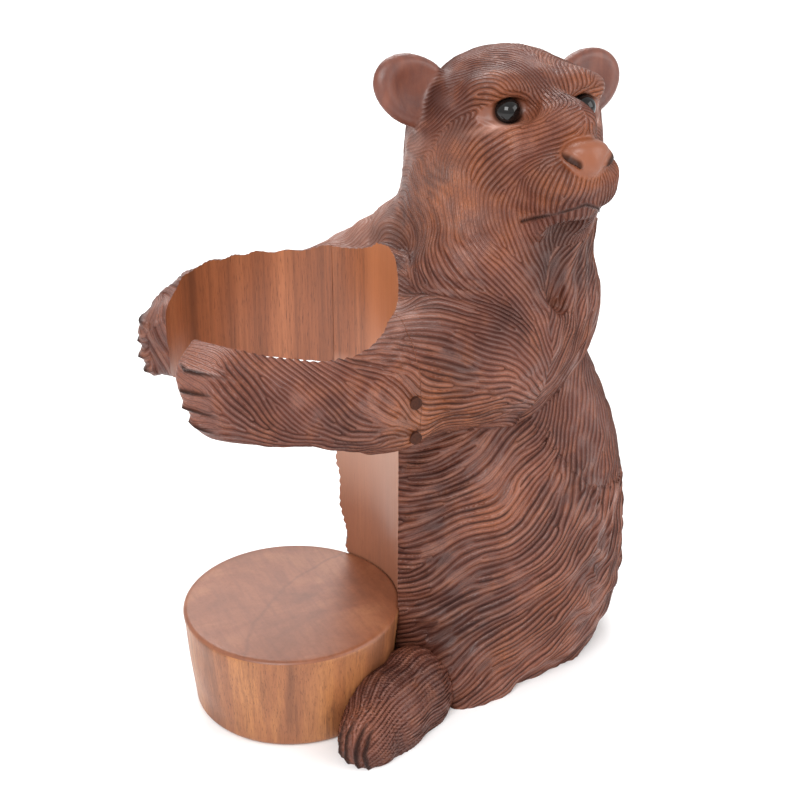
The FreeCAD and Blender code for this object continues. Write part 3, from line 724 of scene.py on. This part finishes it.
# single cuts on the left half of the face: the start of their measures, the measures left,
# forward and up, width, depth and whether the ends fade out
FACE_CUTS = (
    (EYE, ((11, -9, -1), (6, -2, 5.5), (0, 1, 7.5), (-6, 3, 4), (-9, 4, -1)), 1.5, 0.9, True),
    (EYE, ((11, -9, -1), (5, -1, -6), (-2, 3, -7), (-9, 4, -1)), 1.5, 0.6, True),
    (0, ((9.5, 54, -1.5), (8.2, 58, -4.0), (6.0, 60, -6.5), (4.2, 60, -8.0)), 2.5, 2.6, True),
    (0, ((16, 34, -26.5), (12, 44, -25.0), (7, 51, -23.6), (0, 55.6, -23.2)), 1.7, 1.7, False))


def face_cuts(points, tree):
    """Lids, nostrils and mouth as single cuts."""
    cut = np.zeros(len(points))
    for side in (-1, 1):
        for start, bends, width, depth, round_end in FACE_CUTS:
            path = [from_head(mirror(bend, side)) for bend in start + np.array(bends)]
            cut = np.maximum(cut, gouge(points, tree, path, width, depth, round_end))
    return cut


# cuts between the fingers: levels at the tip and behind it, and the angle where each ends
PAW_DROP = 6.0              # how much lower they lie on the right paw
CLAW_CUTS = ((180.5, 179.5, 125), (172.0, 172.5, 135), (165.0, 164.0, 133), (158.0, 156.5, 134))


def claw_cuts(points, tree):
    """Wedge cuts that part the fingers on the front of each paw."""
    cut = np.zeros(len(points))
    for profile, side, drop in ((LEFT_ARM, 1, 0.0), (RIGHT_ARM, -1, PAW_DROP)):
        def at(angle, level, out=0.0):
            outer = along_arm(profile, angle)[2] + out
            turn = math.radians(angle)
            return (outer * side * math.sin(turn), outer * math.cos(turn), level - drop)

        for tip, behind, end in CLAW_CUTS:
            path = [at(PAW_END + 1, tip, -4), at(PAW_END - 4, tip), at(PAW_END - 10, tip),
                    at(end, behind)]
            cut = np.maximum(cut, gouge(points, tree, path, 1.9, 2.0))
    return cut


def smooth_fingers(points):
    """1 on the tips of the paws, where the fur stops."""
    angle = np.degrees(np.arctan2(np.abs(points[:, 0]), points[:, 1]))
    on_ring = (points[:, 2] > 140) & (points[:, 2] < 200) & (points[:, 1] < 0)
    return step(PAW_END - 22, PAW_END - 12, angle) * on_ring


# place, reach and strength of worn stain on the body, on each side of the head, and of darkening:
# painted shade under the chin and where the foot meets the seat, darker stain in the other spots
THIN_STAIN = (((57, 36, 152), 17, 0.9), ((54, 58, 146), 14, 0.5), ((50, 76, 24), 14, 0.45),
              ((50, 80, 100), 14, 0.3), ((48, 100, 44), 12, 0.3), ((-57, 36, 152), 17, 0.9),
              ((30, 26, 168), 14, 0.3))
THIN_ON_HEAD = (((36, 14, -14), 22, 0.6), ((20, 34, 17), 13, 0.55), ((12, 50, -12), 9, 0.5),
                ((22, 34, -30), 13, 0.4))
# the first three spots are painted shade: two under the chin, one where the foot meets the seat
DARK_STAIN_AND_SHADE = (((44, 100, 211), 15, 0.8), ((41, 98, 196), 11, 0.7), ((38, 48, 36), 20, 0.9),
               ((33, 38, 66), 16, 0.35), ((44, 58, 116), 13, 0.35), ((46, 60, 190), 20, 0.25),
               ((45, 84, 122), 12, 0.4), ((48, 118, 70), 12, 0.25))


def stain_wear_and_shade(points):
    """How far the stain is worn and orange wood shows; below 0 it is darker, from thick stain and
    from painted shade where the ears meet the head, under the chin and where the foot meets the
    seat.
    """
    thin = np.zeros(len(points))
    for place, reach, share in THIN_STAIN:
        thin = np.maximum(thin, share * spot(points, place, reach))
    local = to_head(points)
    for side in (-1, 1):
        for place, reach, share in THIN_ON_HEAD:
            thin = np.maximum(thin, share * spot(local, mirror(place, side), reach))
    nose_gap = ((local - NOSE) ** 2).sum(1)
    thin = np.maximum(thin, 0.8 * np.exp(-(nose_gap / 12 ** 2) ** 2))
    # painted shade where each ear meets the head
    for side in (-1, 1):
        thin -= 0.6 * spot(local, mirror(EAR_ROOT, side), 9)
    # thick stain, and painted shade under the chin and where the foot meets the seat
    for place, reach, share in DARK_STAIN_AND_SHADE:
        thin -= share * spot(points, place, reach)
    return thin


def bear_waves(mesh, known, rounds):
    """Points, normals, depth of the gouge and the waves over a mesh of the bear.

    known holds each wave on the mesh's first points, or None.
    """
    points, normals = points_mm(mesh), normals_of(mesh)
    regions = bear_regions(points)
    direction, pitch, depth = bear_strokes(points, normals, regions)
    direction = turned(direction, normals, SWAY * wobble(points, SWAY_OVER, seed=3))
    pitch *= np.clip(1 + UNEVEN * wobble(points, UNEVEN_OVER, seed=11), 0.75, 1.35)
    across = np.cross(normals, direction)
    edges = edges_of(mesh)
    waves = []
    for length, count, start in zip(WAVES, rounds, known):
        if start is not None:
            start = np.concatenate((start, np.zeros(len(points) - len(start), np.complex64)))
        waves.append(groove_phase(points, edges, across, pitch * length, regions, count, start))
    return points, normals, depth, waves


def carve_bear():
    """Trunk, head and arms as one furry solid, before the bottle space and joints are cut."""
    field = Field(FORM_LOW, FORM_HIGH, FORM_STEP)
    form = bear_form(field)
    # the middle of the bottle space is emptied early, so no fur is spent on it
    form = carve(form, BORE - 6 - np.hypot(field.x, field.y), 0.5)
    mesh = field.mesh(form, "bear")
    points, normals, depth, waves = bear_waves(mesh, (None, None, None), SETTLING)
    mesh = refine(mesh)
    points, normals, depth, waves = bear_waves(mesh, waves, REFINING)
    phase, bands, locks = waves

    smooth = smooth_on_head(points)
    tree = point_tree(points)
    cuts = np.maximum(face_cuts(points, tree), claw_cuts(points, tree))
    # the gouge goes deeper in some places than in others, and not into sanded or cut ones
    share = 0.78 + 0.26 * wobble(points, 26, seed=5) + 0.12 * wobble(points, 9, seed=6)
    share += 0.34 * bands.real + 0.2 * locks.imag
    share = (1 - smooth) * np.clip(share, 0.12, 1.5)
    share = share * (1 - 0.75 * smooth_fingers(points)) * (1 - step(0.1, 0.9, cuts))
    sink = depth * share * groove_shape(phase) + cuts
    # below the head the bands and locks swell as well
    on_head = step(RUFF - 4, RUFF + 8, points[:, 2])
    swell = 0.4 + 0.4 * (1 - step(WAIST - 10, WAIST + 10, points[:, 2]))
    sink -= (1 - on_head) * (1 - smooth) * (swell * locks.real + 0.2 * bands.real)
    sink -= 0.25 * (1 - smooth) * wobble(points, 15, seed=9)
    set_points(mesh, points - normals * sink[:, None])
    # painted shade in the cuts and in the gap round each bead
    dark = np.maximum(step(0.2, 1.6, cuts), 0.85 * eye_shadow(points))
    store(mesh, phase=(phase.real, phase.imag, share * depth),
          marks=(dark, smooth, stain_wear_and_shade(points)),
          tint=(painted_sheen(points), bands.imag, locks.real))
    return mesh


def heal(mesh):
    """New points on a cut edge take their values from the points around them."""
    edges = edges_of(mesh)
    layers = [mesh.attributes[name].data for name in LAYERS]
    values = np.hstack([read(layer, "vector", 3) for layer in layers])
    missing = np.abs(values[:, :2]).sum(1) < 1e-6
    total, count = np.zeros_like(values), np.zeros(len(values))
    for a, b in ((0, 1), (1, 0)):
        good = ~missing[edges[:, b]]
        start, end = edges[good, a], edges[good, b]
        count += np.bincount(start, minlength=len(values))
        for column in range(values.shape[1]):
            total[:, column] += np.bincount(start, values[end, column], len(values))
    fixed = missing & (count > 0)
    values[fixed] = total[fixed] / count[fixed, None]
    for layer, part in zip(layers, np.hsplit(values, len(layers))):
        layer.foreach_set("vector", part.astype(np.float32).ravel())


def cutter(mesh):
    """A tool that leaves smooth wood where it has cut."""
    mesh.materials.append(cut_wood)
    return add_object(mesh.name + "_cutter", mesh)


def cut_with(obj, tools, operation="DIFFERENCE"):
    """Cut an object with one tool after another and clear the tools away."""
    for tool in tools:
        change = obj.modifiers.new("cut", "BOOLEAN")
        change.operation, change.object, change.solver = operation, tool, "MANIFOLD"
        change.material_mode = "TRANSFER"
        applied(obj)
        bpy.data.objects.remove(tool)
    heal(obj.data)


def block_mesh(name, low, high):
    mesh = bpy.data.meshes.new(name)
    shape = bmesh.new()
    bmesh.ops.create_cube(shape, size=1.0)
    for vertex in shape.verts:
        share = np.array(vertex.co) + 0.5
        vertex.co = Vector((np.array(low) + share * (np.array(high) - np.array(low))) * MM)
    shape.to_mesh(mesh)
    shape.free()
    return mesh


def turned_mesh(name, outline, segments=256):
    """A solid of revolution about Z from (radius, level) pairs; its ends lie on the axis."""
    mesh = bpy.data.meshes.new(name)
    shape = bmesh.new()
    rings = []
    for radius, level in outline:
        if radius == 0:
            rings.append([shape.verts.new((0, 0, level * MM))])
            continue
        angles = [2 * math.pi * k / segments for k in range(segments)]
        rings.append([shape.verts.new((radius * MM * math.cos(a), radius * MM * math.sin(a),
                                       level * MM)) for a in angles])
    for lower, upper in zip(rings, rings[1:]):
        for k in range(segments):
            n = (k + 1) % segments
            if len(lower) == 1:
                shape.faces.new((lower[0], upper[n], upper[k]))
            elif len(upper) == 1:
                shape.faces.new((lower[k], lower[n], upper[0]))
            else:
                shape.faces.new((lower[k], lower[n], upper[n], upper[k]))
    shape.to_mesh(mesh)
    shape.free()
    return mesh


def arc(centre, radius, start, end, count):
    """(radius, level) pairs along an arc between two angles in degrees."""
    turns = [math.radians(start + (end - start) * k / count) for k in range(count + 1)]
    return [(centre[0] + radius * math.cos(t), centre[1] + radius * math.sin(t)) for t in turns]


def shade(obj, angle=40.0):
    """Smooth shading with crisp edges where two cuts meet."""
    obj.data.polygons.foreach_set("use_smooth", [True] * len(obj.data.polygons))
    obj.data.set_sharp_from_angle(angle=math.radians(angle))


# ---- materials

def colour(text):
    """A linear colour from a web colour."""
    parts = [int(text[i:i + 2], 16) / 255 for i in (0, 2, 4)]
    return (*[p / 12.92 if p <= 0.04045 else ((p + 0.055) / 1.055) ** 2.4 for p in parts], 1)


class Nodes:
    """Short calls that add and link shader nodes."""

    def __init__(self, name):
        self.material = bpy.data.materials.new(name)
        self.material.use_nodes = True
        self.tree = self.material.node_tree
        self.surface = self.tree.nodes["Principled BSDF"]

    def add(self, kind, inputs=(), **settings):
        node = self.tree.nodes.new("ShaderNode" + kind)
        for key, value in settings.items():
            setattr(node, key, value)
        for key, value in dict(inputs).items():
            self.put(node.inputs[key], value)
        return node

    def put(self, socket, value):
        if isinstance(value, bpy.types.NodeSocket):
            self.tree.links.new(value, socket)
        else:
            socket.default_value = value

    def math(self, operation, a, b=0.0, clamp=False):
        return self.add("Math", {0: a, 1: b}, operation=operation, use_clamp=clamp).outputs[0]

    def times(self, a, b, clamp=False):
        return self.math("MULTIPLY", a, b, clamp)

    def split(self, vector):
        return self.add("SeparateXYZ", {0: vector}).outputs

    def mix(self, base, share, other):
        """A share of another colour over a colour; the other one may be a web colour."""
        if isinstance(other, str):
            other = colour(other)
        return self.add("Mix", {0: share, 6: base, 7: other}, data_type="RGBA").outputs[2]

    def span(self, value, low, high, to_low=0.0, to_high=1.0):
        keys = {"Value": value, "From Min": low, "From Max": high,
                "To Min": to_low, "To Max": to_high}
        return self.add("MapRange", keys).outputs[0]

    def places(self, scale=(1, 1, 1), turn=(0, 0, 0)):
        """Object coordinates in millimetres, stretched and turned."""
        source = self.add("TexCoord").outputs["Object"]
        stretch = tuple(s / MM for s in scale)
        keys = {"Vector": source, "Scale": stretch, "Rotation": turn}
        return self.add("Mapping", keys).outputs[0]

    def noise(self, where, scale, detail=4.0, rough=0.55, twist=0.0):
        keys = {"Vector": where, "Scale": scale, "Detail": detail, "Roughness": rough,
                "Distortion": twist}
        return self.add("TexNoise", keys).outputs["Fac"]

    def ramp(self, value, *stops):
        node = self.add("ValToRGB", {0: value})
        elements = node.color_ramp.elements
        while len(elements) < len(stops):
            elements.new(0.5)
        for element, (position, text) in zip(elements, stops):
            element.position, element.color = position, colour(text)
        return node.outputs[0]

    def finish(self, base, rough, bump=None, strength=0.3, distance=0.3, coat=0.0):
        self.put(self.surface.inputs["Base Color"], base)
        self.put(self.surface.inputs["Roughness"], rough)
        if coat:
            self.surface.inputs["Coat Weight"].default_value = coat
            self.surface.inputs["Coat Roughness"].default_value = 0.32
        if bump is not None:
            keys = {"Height": bump, "Strength": strength, "Distance": distance * MM}
            self.put(self.surface.inputs["Normal"], self.add("Bump", keys).outputs[0])
        return self.material


def fur_material():
    """Stained wood cut in grooves: painted shade on the floors, fine lines beside them, painted
    highlight on the ridges.
    """
    n = Nodes("carved_fur")
    layers = [n.split(n.add("Attribute", attribute_name=name).outputs[1]) for name in LAYERS]
    (cosine, sine, cut_depth), (dark, sanded_share, wear_and_painted_shade), (pale, bands, locks) = layers
    where = n.places()
    broad = n.noise(where, 0.03, 3)
    patch = n.noise(where, 0.12, 4, 0.6)
    dapple = n.noise(where, 0.35, 3, 0.6)
    grain = n.noise(where, 1.3, 5, 0.6)

    # 1 on a groove's floor, 0 on a ridge; finer lines run beside them
    angle = n.math("ARCTAN2", sine, cosine)
    floor = n.math("ABSOLUTE", n.math("SINE", n.times(angle, 0.5)))
    twice = n.math("ADD", n.times(angle, 2.0), n.span(dapple, 0.2, 0.8, -1.6, 1.6))
    thrice = n.math("ADD", n.times(angle, 3.0), n.span(patch, 0.2, 0.8, 0.0, 5.0))
    lines = n.math("ADD", n.times(n.math("COSINE", twice), n.span(dapple, 0.3, 0.6)),
                   n.times(n.math("COSINE", thrice), n.span(dapple, 0.7, 0.4)))
    bare = n.span(sanded_share, 0.0, 0.6, 1.0, 0.0)
    lines = n.times(lines, bare)
    depth = n.span(cut_depth, 0.0, 0.9)

    base = n.ramp(broad, (0.32, "4f2a21"), (0.5, "6d3d2f"), (0.68, "87503d"))
    base = n.mix(base, n.span(patch, 0.5, 0.75, 0, 0.5), "935738")
    base = n.mix(base, n.times(wear_and_painted_shade, n.span(patch, 0.3, 0.6, 0.45, 1.0), True), "a35a2c")
    # thick stain and painted shade where the value is below 0
    base = n.mix(base, n.times(wear_and_painted_shade, n.span(patch, 0.3, 0.7, -0.6, -1.0), True), "2e130d")
    base = n.mix(base, n.span(grain, 0.35, 0.7, 0, 0.4), "3d1c13")
    streak = n.math("ADD", bands, locks)
    base = n.mix(base, n.times(n.span(streak, 0.0, 1.8, 0, 0.38), bare), "351912")
    base = n.mix(base, n.times(n.span(streak, 0.0, -1.8, 0, 0.35), bare), "93604c")
    base = n.mix(base, n.times(n.span(lines, 0.25, 1.1, 0, 0.5), bare), "32160f")
    # painted shade on the groove floors
    base = n.mix(base, n.times(n.span(floor, 0.6, 1.0), n.times(depth, 0.78)), "220d09")
    # painted highlight on the ridges
    base = n.mix(base, n.times(n.span(floor, 0.4, 0.0), n.times(depth, 0.3)), "9a6a5a")
    # painted sheen on the shoulders, neck and head, painted highlight on the lower lids
    base = n.mix(base, n.times(pale, 0.7), "a87a6a")

    sanded = n.ramp(n.noise(n.places((1, 1, 0.3)), 0.2, 4), (0.3, "532a20"), (0.65, "723e2c"))
    sanded = n.mix(sanded, n.times(wear_and_painted_shade, 1.0, True), "8c4e2c")
    # painted highlight on the sanded lower lids
    sanded = n.mix(sanded, pale, "a87a6a")
    base = n.mix(base, sanded_share, sanded)
    # painted shade in the cuts and round the beads
    base = n.mix(base, n.times(dark, 0.9), "1d0e0a")

    height = n.math("SUBTRACT", n.times(grain, 0.35), n.times(lines, 0.45))
    height = n.math("SUBTRACT", height, n.times(floor, depth))
    dull = n.times(n.span(floor, 0.1, 0.9), n.span(cut_depth, 0.0, 0.3))
    dull = n.math("ADD", dull, n.times(dark, 1.2), True)
    n.put(n.surface.inputs["Specular IOR Level"], n.span(dull, 0.0, 1.0, 0.6, 0.14))
    return n.finish(base, n.span(grain, 0.2, 0.8, 0.34, 0.52), height, 0.5, 0.35)


PALE_BELOW = (130.0, 146.0)         # levels between which the bottle space turns paler


def cut_material(name, light, middle, dark, pale=None, plain=None):
    """Smooth wood with upright grain, warm and satin.

    The trunk's wall is paler below the arms, and plain orange on the bear's left above them.
    """
    n = Nodes(name)
    band = n.noise(n.places((1, 1, 0.035)), 0.075, 3, 0.5, 0.4)
    fine = n.noise(n.places((1, 1, 0.03)), 1.1, 6, 0.65)
    pore = n.noise(n.places((1, 1, 0.06)), 3.2, 3, 0.6)
    vein = n.noise(n.places((1, 1, 0.02)), 0.42, 5, 0.6, 0.3)
    base = n.ramp(band, (0.3, dark), (0.5, middle), (0.68, light))
    base = n.mix(base, n.span(vein, 0.5, 0.68, 0, 0.6), dark)
    base = n.mix(base, n.span(fine, 0.4, 0.75, 0, 0.55), dark)
    base = n.mix(base, n.span(pore, 0.56, 0.68, 0, 0.7), "4a2415")
    if pale:
        across, _, level = n.split(n.add("TexCoord").outputs["Object"])
        high = n.span(level, PALE_BELOW[0] * MM, PALE_BELOW[1] * MM)
        low = n.span(level, PALE_BELOW[1] * MM, PALE_BELOW[0] * MM)
        base = n.mix(base, n.times(n.span(across, -18 * MM, -13 * MM, 0.0, 0.75), high), plain)
        base = n.mix(base, n.times(low, 0.5), "9a6752")
        base = n.mix(base, n.times(low, n.span(level, 70 * MM, 120 * MM, 0.05, 0.85)), pale)
    rough = n.span(fine, 0.2, 0.8, 0.34, 0.5)
    height = n.math("ADD", fine, n.times(pore, -0.6))
    return n.finish(base, rough, height, 0.12, 0.15, coat=0.05)


RING_CENTRE, RING_RADIUS = (72.8, 60.5), 102.1     # growth ring that shows on the base's top


def base_top_material():
    """End grain on top of the base: faint streaks, blotches and one dark growth ring."""
    n = Nodes("base_top")
    where = n.places()
    broad = n.noise(n.places((1, 0.6, 1), (0, 0, 0.6)), 0.035, 4, 0.6, 0.8)
    streak = n.noise(n.places((0.25, 1.6, 1), (0, 0, -1.13)), 0.25, 4, 0.6)
    fine = n.noise(where, 0.8, 5, 0.7)
    base = n.ramp(broad, (0.3, "73422b"), (0.5, "875035"), (0.7, "9a6344"))
    base = n.mix(base, n.span(streak, 0.4, 0.75, 0, 0.5), "6a3c28")
    base = n.mix(base, n.span(fine, 0.45, 0.8, 0, 0.3), "5c3725")
    centre = tuple(c * MM for c in (*RING_CENTRE, BASE_TALL))
    gap = n.add("VectorMath", {0: n.add("TexCoord").outputs["Object"], 1: centre},
                operation="DISTANCE").outputs["Value"]
    bend = n.span(n.noise(where, 0.08, 2), 0.3, 0.7, -1.2 * MM, 1.2 * MM)
    off = n.math("ABSOLUTE", n.math("SUBTRACT", n.math("ADD", gap, bend), RING_RADIUS * MM))
    ring = n.times(n.span(off, 1.5 * MM, 0.1 * MM), n.span(broad, 0.3, 0.6, 0.05, 0.3))
    base = n.mix(base, ring, "47261a")
    return n.finish(base, n.span(fine, 0.2, 0.8, 0.32, 0.48), fine, 0.06, 0.1, coat=0.05)


def bead_material():
    n = Nodes("eye_bead")
    where = n.places()
    cloud = n.noise(where, 0.5, 3)
    base = n.ramp(cloud, (0.3, "050505"), (0.7, "14100f"))
    n.surface.inputs["Specular IOR Level"].default_value = 0.4
    return n.finish(base, n.span(cloud, 0.3, 0.7, 0.03, 0.08), cloud, 0.02, 0.05)


def dowel_material():
    n = Nodes("dowel_wood")
    grain = n.noise(n.places((1, 0.1, 1)), 1.4, 5, 0.6)
    base = n.ramp(grain, (0.3, "a57b4c"), (0.7, "cda774"))
    return n.finish(base, n.span(grain, 0.2, 0.8, 0.55, 0.7), grain, 0.2, 0.1)


def plug_material():
    n = Nodes("dark_filler")
    grain = n.noise(n.places(), 1.2, 4, 0.6)
    base = n.ramp(grain, (0.3, "2e1710"), (0.7, "4a291c"))
    n.surface.inputs["Specular IOR Level"].default_value = 0.15
    return n.finish(base, n.span(grain, 0.2, 0.8, 0.6, 0.8), grain, 0.4, 0.3)


# ---- pieces

fur = fur_material()
cut_wood = cut_material("cut_wood", "aa6842", "8f5231", "643822", "cc9d85", "aa6842")
arm_wood = cut_material("arm_wood", "aa6842", "8f5231", "643822")
base_side = cut_material("base_side", "b27545", "955c39", "6c4028")
base_top = base_top_material()
bead = bead_material()
dowel_wood = dowel_material()
filler = plug_material()


# radius and level along the tapered seat of the base
SEAT_FOOT, SEAT_TOP = BASE_FOOT_RADIUS + GLUE_GAP, BASE_RADIUS + GLUE_GAP
SEAT = [(0, -30), (SEAT_FOOT, -30), (SEAT_FOOT, 0), (SEAT_TOP, BASE_TALL)]


def bore_cutter():
    """The bottle space, with the seat of the base below it."""
    above = TOP + 40
    levels = [(BORE, BASE_TALL + (above - BASE_TALL) * k / 60) for k in range(61)]
    return cutter(turned_mesh("bore", SEAT + levels + [(0, above)]))


def ground_cutter():
    return cutter(block_mesh("ground", (-BEYOND, -BEYOND, -60), (BEYOND, 220, 0)))


def front_cutter(left, right, back):
    """A block round the arms, from their paws to a plane behind them."""
    return cutter(block_mesh("front", (left, -BEYOND, WAIST - 8), (right, back, 230)))


def make_bear():
    """The body and the two arms, cut from the same carved solid."""
    mesh = carve_bear()
    mesh.materials.append(fur)
    body = add_object("carved_body_fur", mesh)
    cut_with(body, (bore_cutter(), ground_cutter()))
    pieces = {"carved_body": body}
    for name, left, right in (("left_arm", 0, BEYOND), ("right_arm", -BEYOND, 0)):
        arm = add_object(name + "_carved", body.data.copy())
        cut_with(arm, [front_cutter(left, right, JOINT_Y - GLUE_GAP / 2)], "INTERSECT")
        slots = arm.data.materials
        for index in range(1, len(slots)):
            slots[index] = arm_wood
        pieces[name] = arm
    cut_with(body, [front_cutter(-BEYOND, BEYOND, JOINT_Y + GLUE_GAP / 2)])
    return pieces


def keep(piece, node, slot):
    """The piece stands for a CAD node on the row's one body."""
    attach(piece, "root")
    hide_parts(node)


TOES_TURN = 1.1             # how far the toes turn in towards the front, in radians
TOE_SHIFTS = (-7.5, -2.0, 4.0, 9.0)


def toe_cuts(points, side):
    """Cuts between the toes, each an arc over the tip of the foot."""
    tree = point_tree(points)
    heading = np.array((math.cos(TOES_TURN), -math.sin(TOES_TURN), 0))
    aside = np.array((math.sin(TOES_TURN), math.cos(TOES_TURN), 0))
    up = np.array((0, 0, 1))
    cut = np.zeros(len(points))
    for shift in TOE_SHIFTS:
        centre = np.array(FOOT_BALLS[-1][0]) + aside * shift
        path = [mirror(centre + 15 * (math.cos(turn) * heading + math.sin(turn) * up), side)
                for turn in np.linspace(-1.4, 1.2, 8)]
        cut = np.maximum(cut, gouge(points, tree, path, 2.0, 2.2))
    return cut


def make_foot(side):
    low, high = (12, 84) if side > 0 else (-84, -12)
    field = Field((low, -14, -6), (high, 84, 40), SMALL_STEP)
    mesh = field.mesh(foot_form(field, side), "foot")
    points, normals = points_mm(mesh), normals_of(mesh)
    guides = guides_along(FOOT_STROKES, (side,), BODY_PITCH * 0.85, 0.8)
    direction, pitch, depth = stroke_field(points, normals, guides, 5.0)
    direction = turned(direction, normals, 0.12 * wobble(points, 24, seed=13))
    across = np.cross(normals, direction)
    one_region = np.zeros(len(points), int)
    phase, bands = [groove_phase(points, edges_of(mesh), across, pitch * length, one_region,
                                 FORM_ROUNDS // 2) for length in WAVES[:2]]
    toes = toe_cuts(points, side)
    share = np.clip(0.85 + 0.25 * wobble(points, 20, seed=15) + 0.3 * bands.real, 0.2, 1.4)
    share *= 1 - step(0.1, 0.9, toes)
    sink = depth * share * groove_shape(phase) + toes
    set_points(mesh, points - normals * sink[:, None])
    none = 0 * share
    # the toe cuts carry painted shade
    store(mesh, phase=(phase.real, phase.imag, share * depth),
          marks=(step(0.2, 1.4, toes), none, none), tint=(none, bands.imag, none))
    mesh.materials.append(fur)
    name = "left_foot" if side > 0 else "right_foot"
    foot = add_object(name + "_carved", mesh)
    seat = cutter(turned_mesh("seat", SEAT + [(SEAT_TOP, 80), (0, 80)]))
    cut_with(foot, (seat, ground_cutter()))
    shade(foot)
    keep(foot, name, "carved_fur")


def make_base():
    """The turned base: a softly rounded rim, upright grain on the side, end grain on top."""
    rim, foot = 2.2, 3.0
    outline = [(0, 0), (BASE_FOOT_RADIUS - foot - 1, 0)]
    outline += arc((BASE_FOOT_RADIUS - foot, foot), foot, -90, 0, 6)
    for share in (k / 12 for k in range(1, 12)):
        outline.append((BASE_FOOT_RADIUS + (BASE_RADIUS - BASE_FOOT_RADIUS) * share,
                        foot + (BASE_TALL - rim - foot) * share))
    outline += arc((BASE_RADIUS - rim, BASE_TALL - rim), rim, 0, 90, 6)
    outline += [(BASE_RADIUS - rim - 2 - 4 * k, BASE_TALL) for k in range(10)] + [(0, BASE_TALL)]
    mesh = turned_mesh("base", outline, 192)
    points = points_mm(mesh)
    out = points / np.maximum(np.linalg.norm(points, axis=1), 1)[:, None] * (1, 1, 0)
    side = step(0.0, 4.0, BASE_TALL - points[:, 2]) * step(0, 6, points[:, 2])
    set_points(mesh, points - out * (side * 0.25 * (1 + wobble(points, 30, seed=21)))[:, None])
    mesh.materials.append(base_side)
    mesh.materials.append(base_top)
    for face in mesh.polygons:
        face.material_index = int(face.center.z > (BASE_TALL - 1.0) * MM)
    base = add_object("bottle_base_turned", mesh)
    shade(base)
    keep(base, "bottle_base", "cut_wood")


def make_eye(side):
    """A glossy bead, deep in its socket, with the shank that holds it."""
    shank = 1.5
    outline = [(0, -9), (shank, -9), (shank, -math.sqrt(EYE_RADIUS ** 2 - shank ** 2))]
    outline += arc((0, 0), EYE_RADIUS, -73, 90, 24)[1:-1] + [(0, EYE_RADIUS)]
    mesh = turned_mesh("eye", outline, 48)
    look = mirror((0.45, 0.88, 0.12), side) @ HEAD
    turn = Vector(look).to_track_quat("Z", "Y").to_matrix().to_4x4()
    mesh.transform(Matrix.Translation(Vector(from_head(mirror(EYE, side)) * MM)) @ turn)
    mesh.materials.append(bead)
    name = "left_eye" if side > 0 else "right_eye"
    eye = add_object(name + "_bead", mesh)
    shade(eye)
    keep(eye, name, "eye_bead")


for node, piece in make_bear().items():
    shade(piece)
    keep(piece, node, "carved_fur")
for side in (-1, 1):
    make_foot(side)
    make_eye(side)
make_base()
for node, look in (("arm_dowels", dowel_wood), ("base_dowels", dowel_wood),
                   ("foot_dowels", dowel_wood), ("joint_plugs", filler)):
    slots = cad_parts[node].data.materials
    slots.clear()
    slots.append(look)


# ---- stage

def make_stage():
    mesh = bpy.data.meshes.new("floor")
    shape = bmesh.new()
    bmesh.ops.create_grid(shape, x_segments=2, y_segments=2, size=6.0)
    shape.to_mesh(mesh)
    shape.free()
    n = Nodes("floor")
    tint = n.noise(n.places(), 0.002, 2)
    n.finish(n.ramp(tint, (0.0, "fbfbfb"), (1.0, "ffffff")), 0.9)
    mesh.materials.append(n.material)
    add_object("floor", mesh)


LIT = Vector((0.0, 0.06, 0.14))             # the point the lights face


def add_area(name, place, size, energy):
    light = bpy.data.lights.new(name, "AREA")
    light.energy, light.size = energy, size
    obj = add_object(name, light)
    obj.location = place
    obj.rotation_euler = (LIT - Vector(place)).to_track_quat("-Z", "Y").to_euler()


VIEW_SIDE, VIEW_LIFT = math.radians(65), math.radians(26.03)
VIEW_RIGHT, VIEW_UP, VIEW_FAR = 0.04727, 0.1426, 0.6556     # aim's shift and height, distance
SENSOR, LENS = 36.0, 72.18                                  # millimetres


def make_camera():
    back = Vector((math.sin(VIEW_SIDE) * math.cos(VIEW_LIFT),
                   -math.cos(VIEW_SIDE) * math.cos(VIEW_LIFT), math.sin(VIEW_LIFT)))
    aim = Vector((math.cos(VIEW_SIDE), math.sin(VIEW_SIDE), 0)) * VIEW_RIGHT
    aim += Vector((0, 0, VIEW_UP))
    camera = add_object("camera", bpy.data.cameras.new("camera"))
    camera.data.sensor_width, camera.data.lens = SENSOR, LENS
    camera.data.clip_start = 0.01
    camera.location = aim + back * VIEW_FAR
    camera.rotation_euler = back.to_track_quat("Z", "Y").to_euler()
    bpy.context.scene.camera = camera


def make_lights():
    world = bpy.data.worlds.new("studio")
    world.use_nodes = True
    glow = world.node_tree.nodes["Background"].inputs
    glow["Color"].default_value, glow["Strength"].default_value = (1, 1, 1, 1), 0.85
    bpy.context.scene.world = world
    add_area("key", (1.0, -0.9, 1.3), 0.9, 22)
    add_area("fill", (0.9, 1.1, 0.8), 1.0, 9)
    add_area("back", (-0.9, 0.3, 1.2), 0.8, 12)


make_stage()
make_camera()
make_lights()
bpy.context.scene.view_settings.view_transform = "Standard"
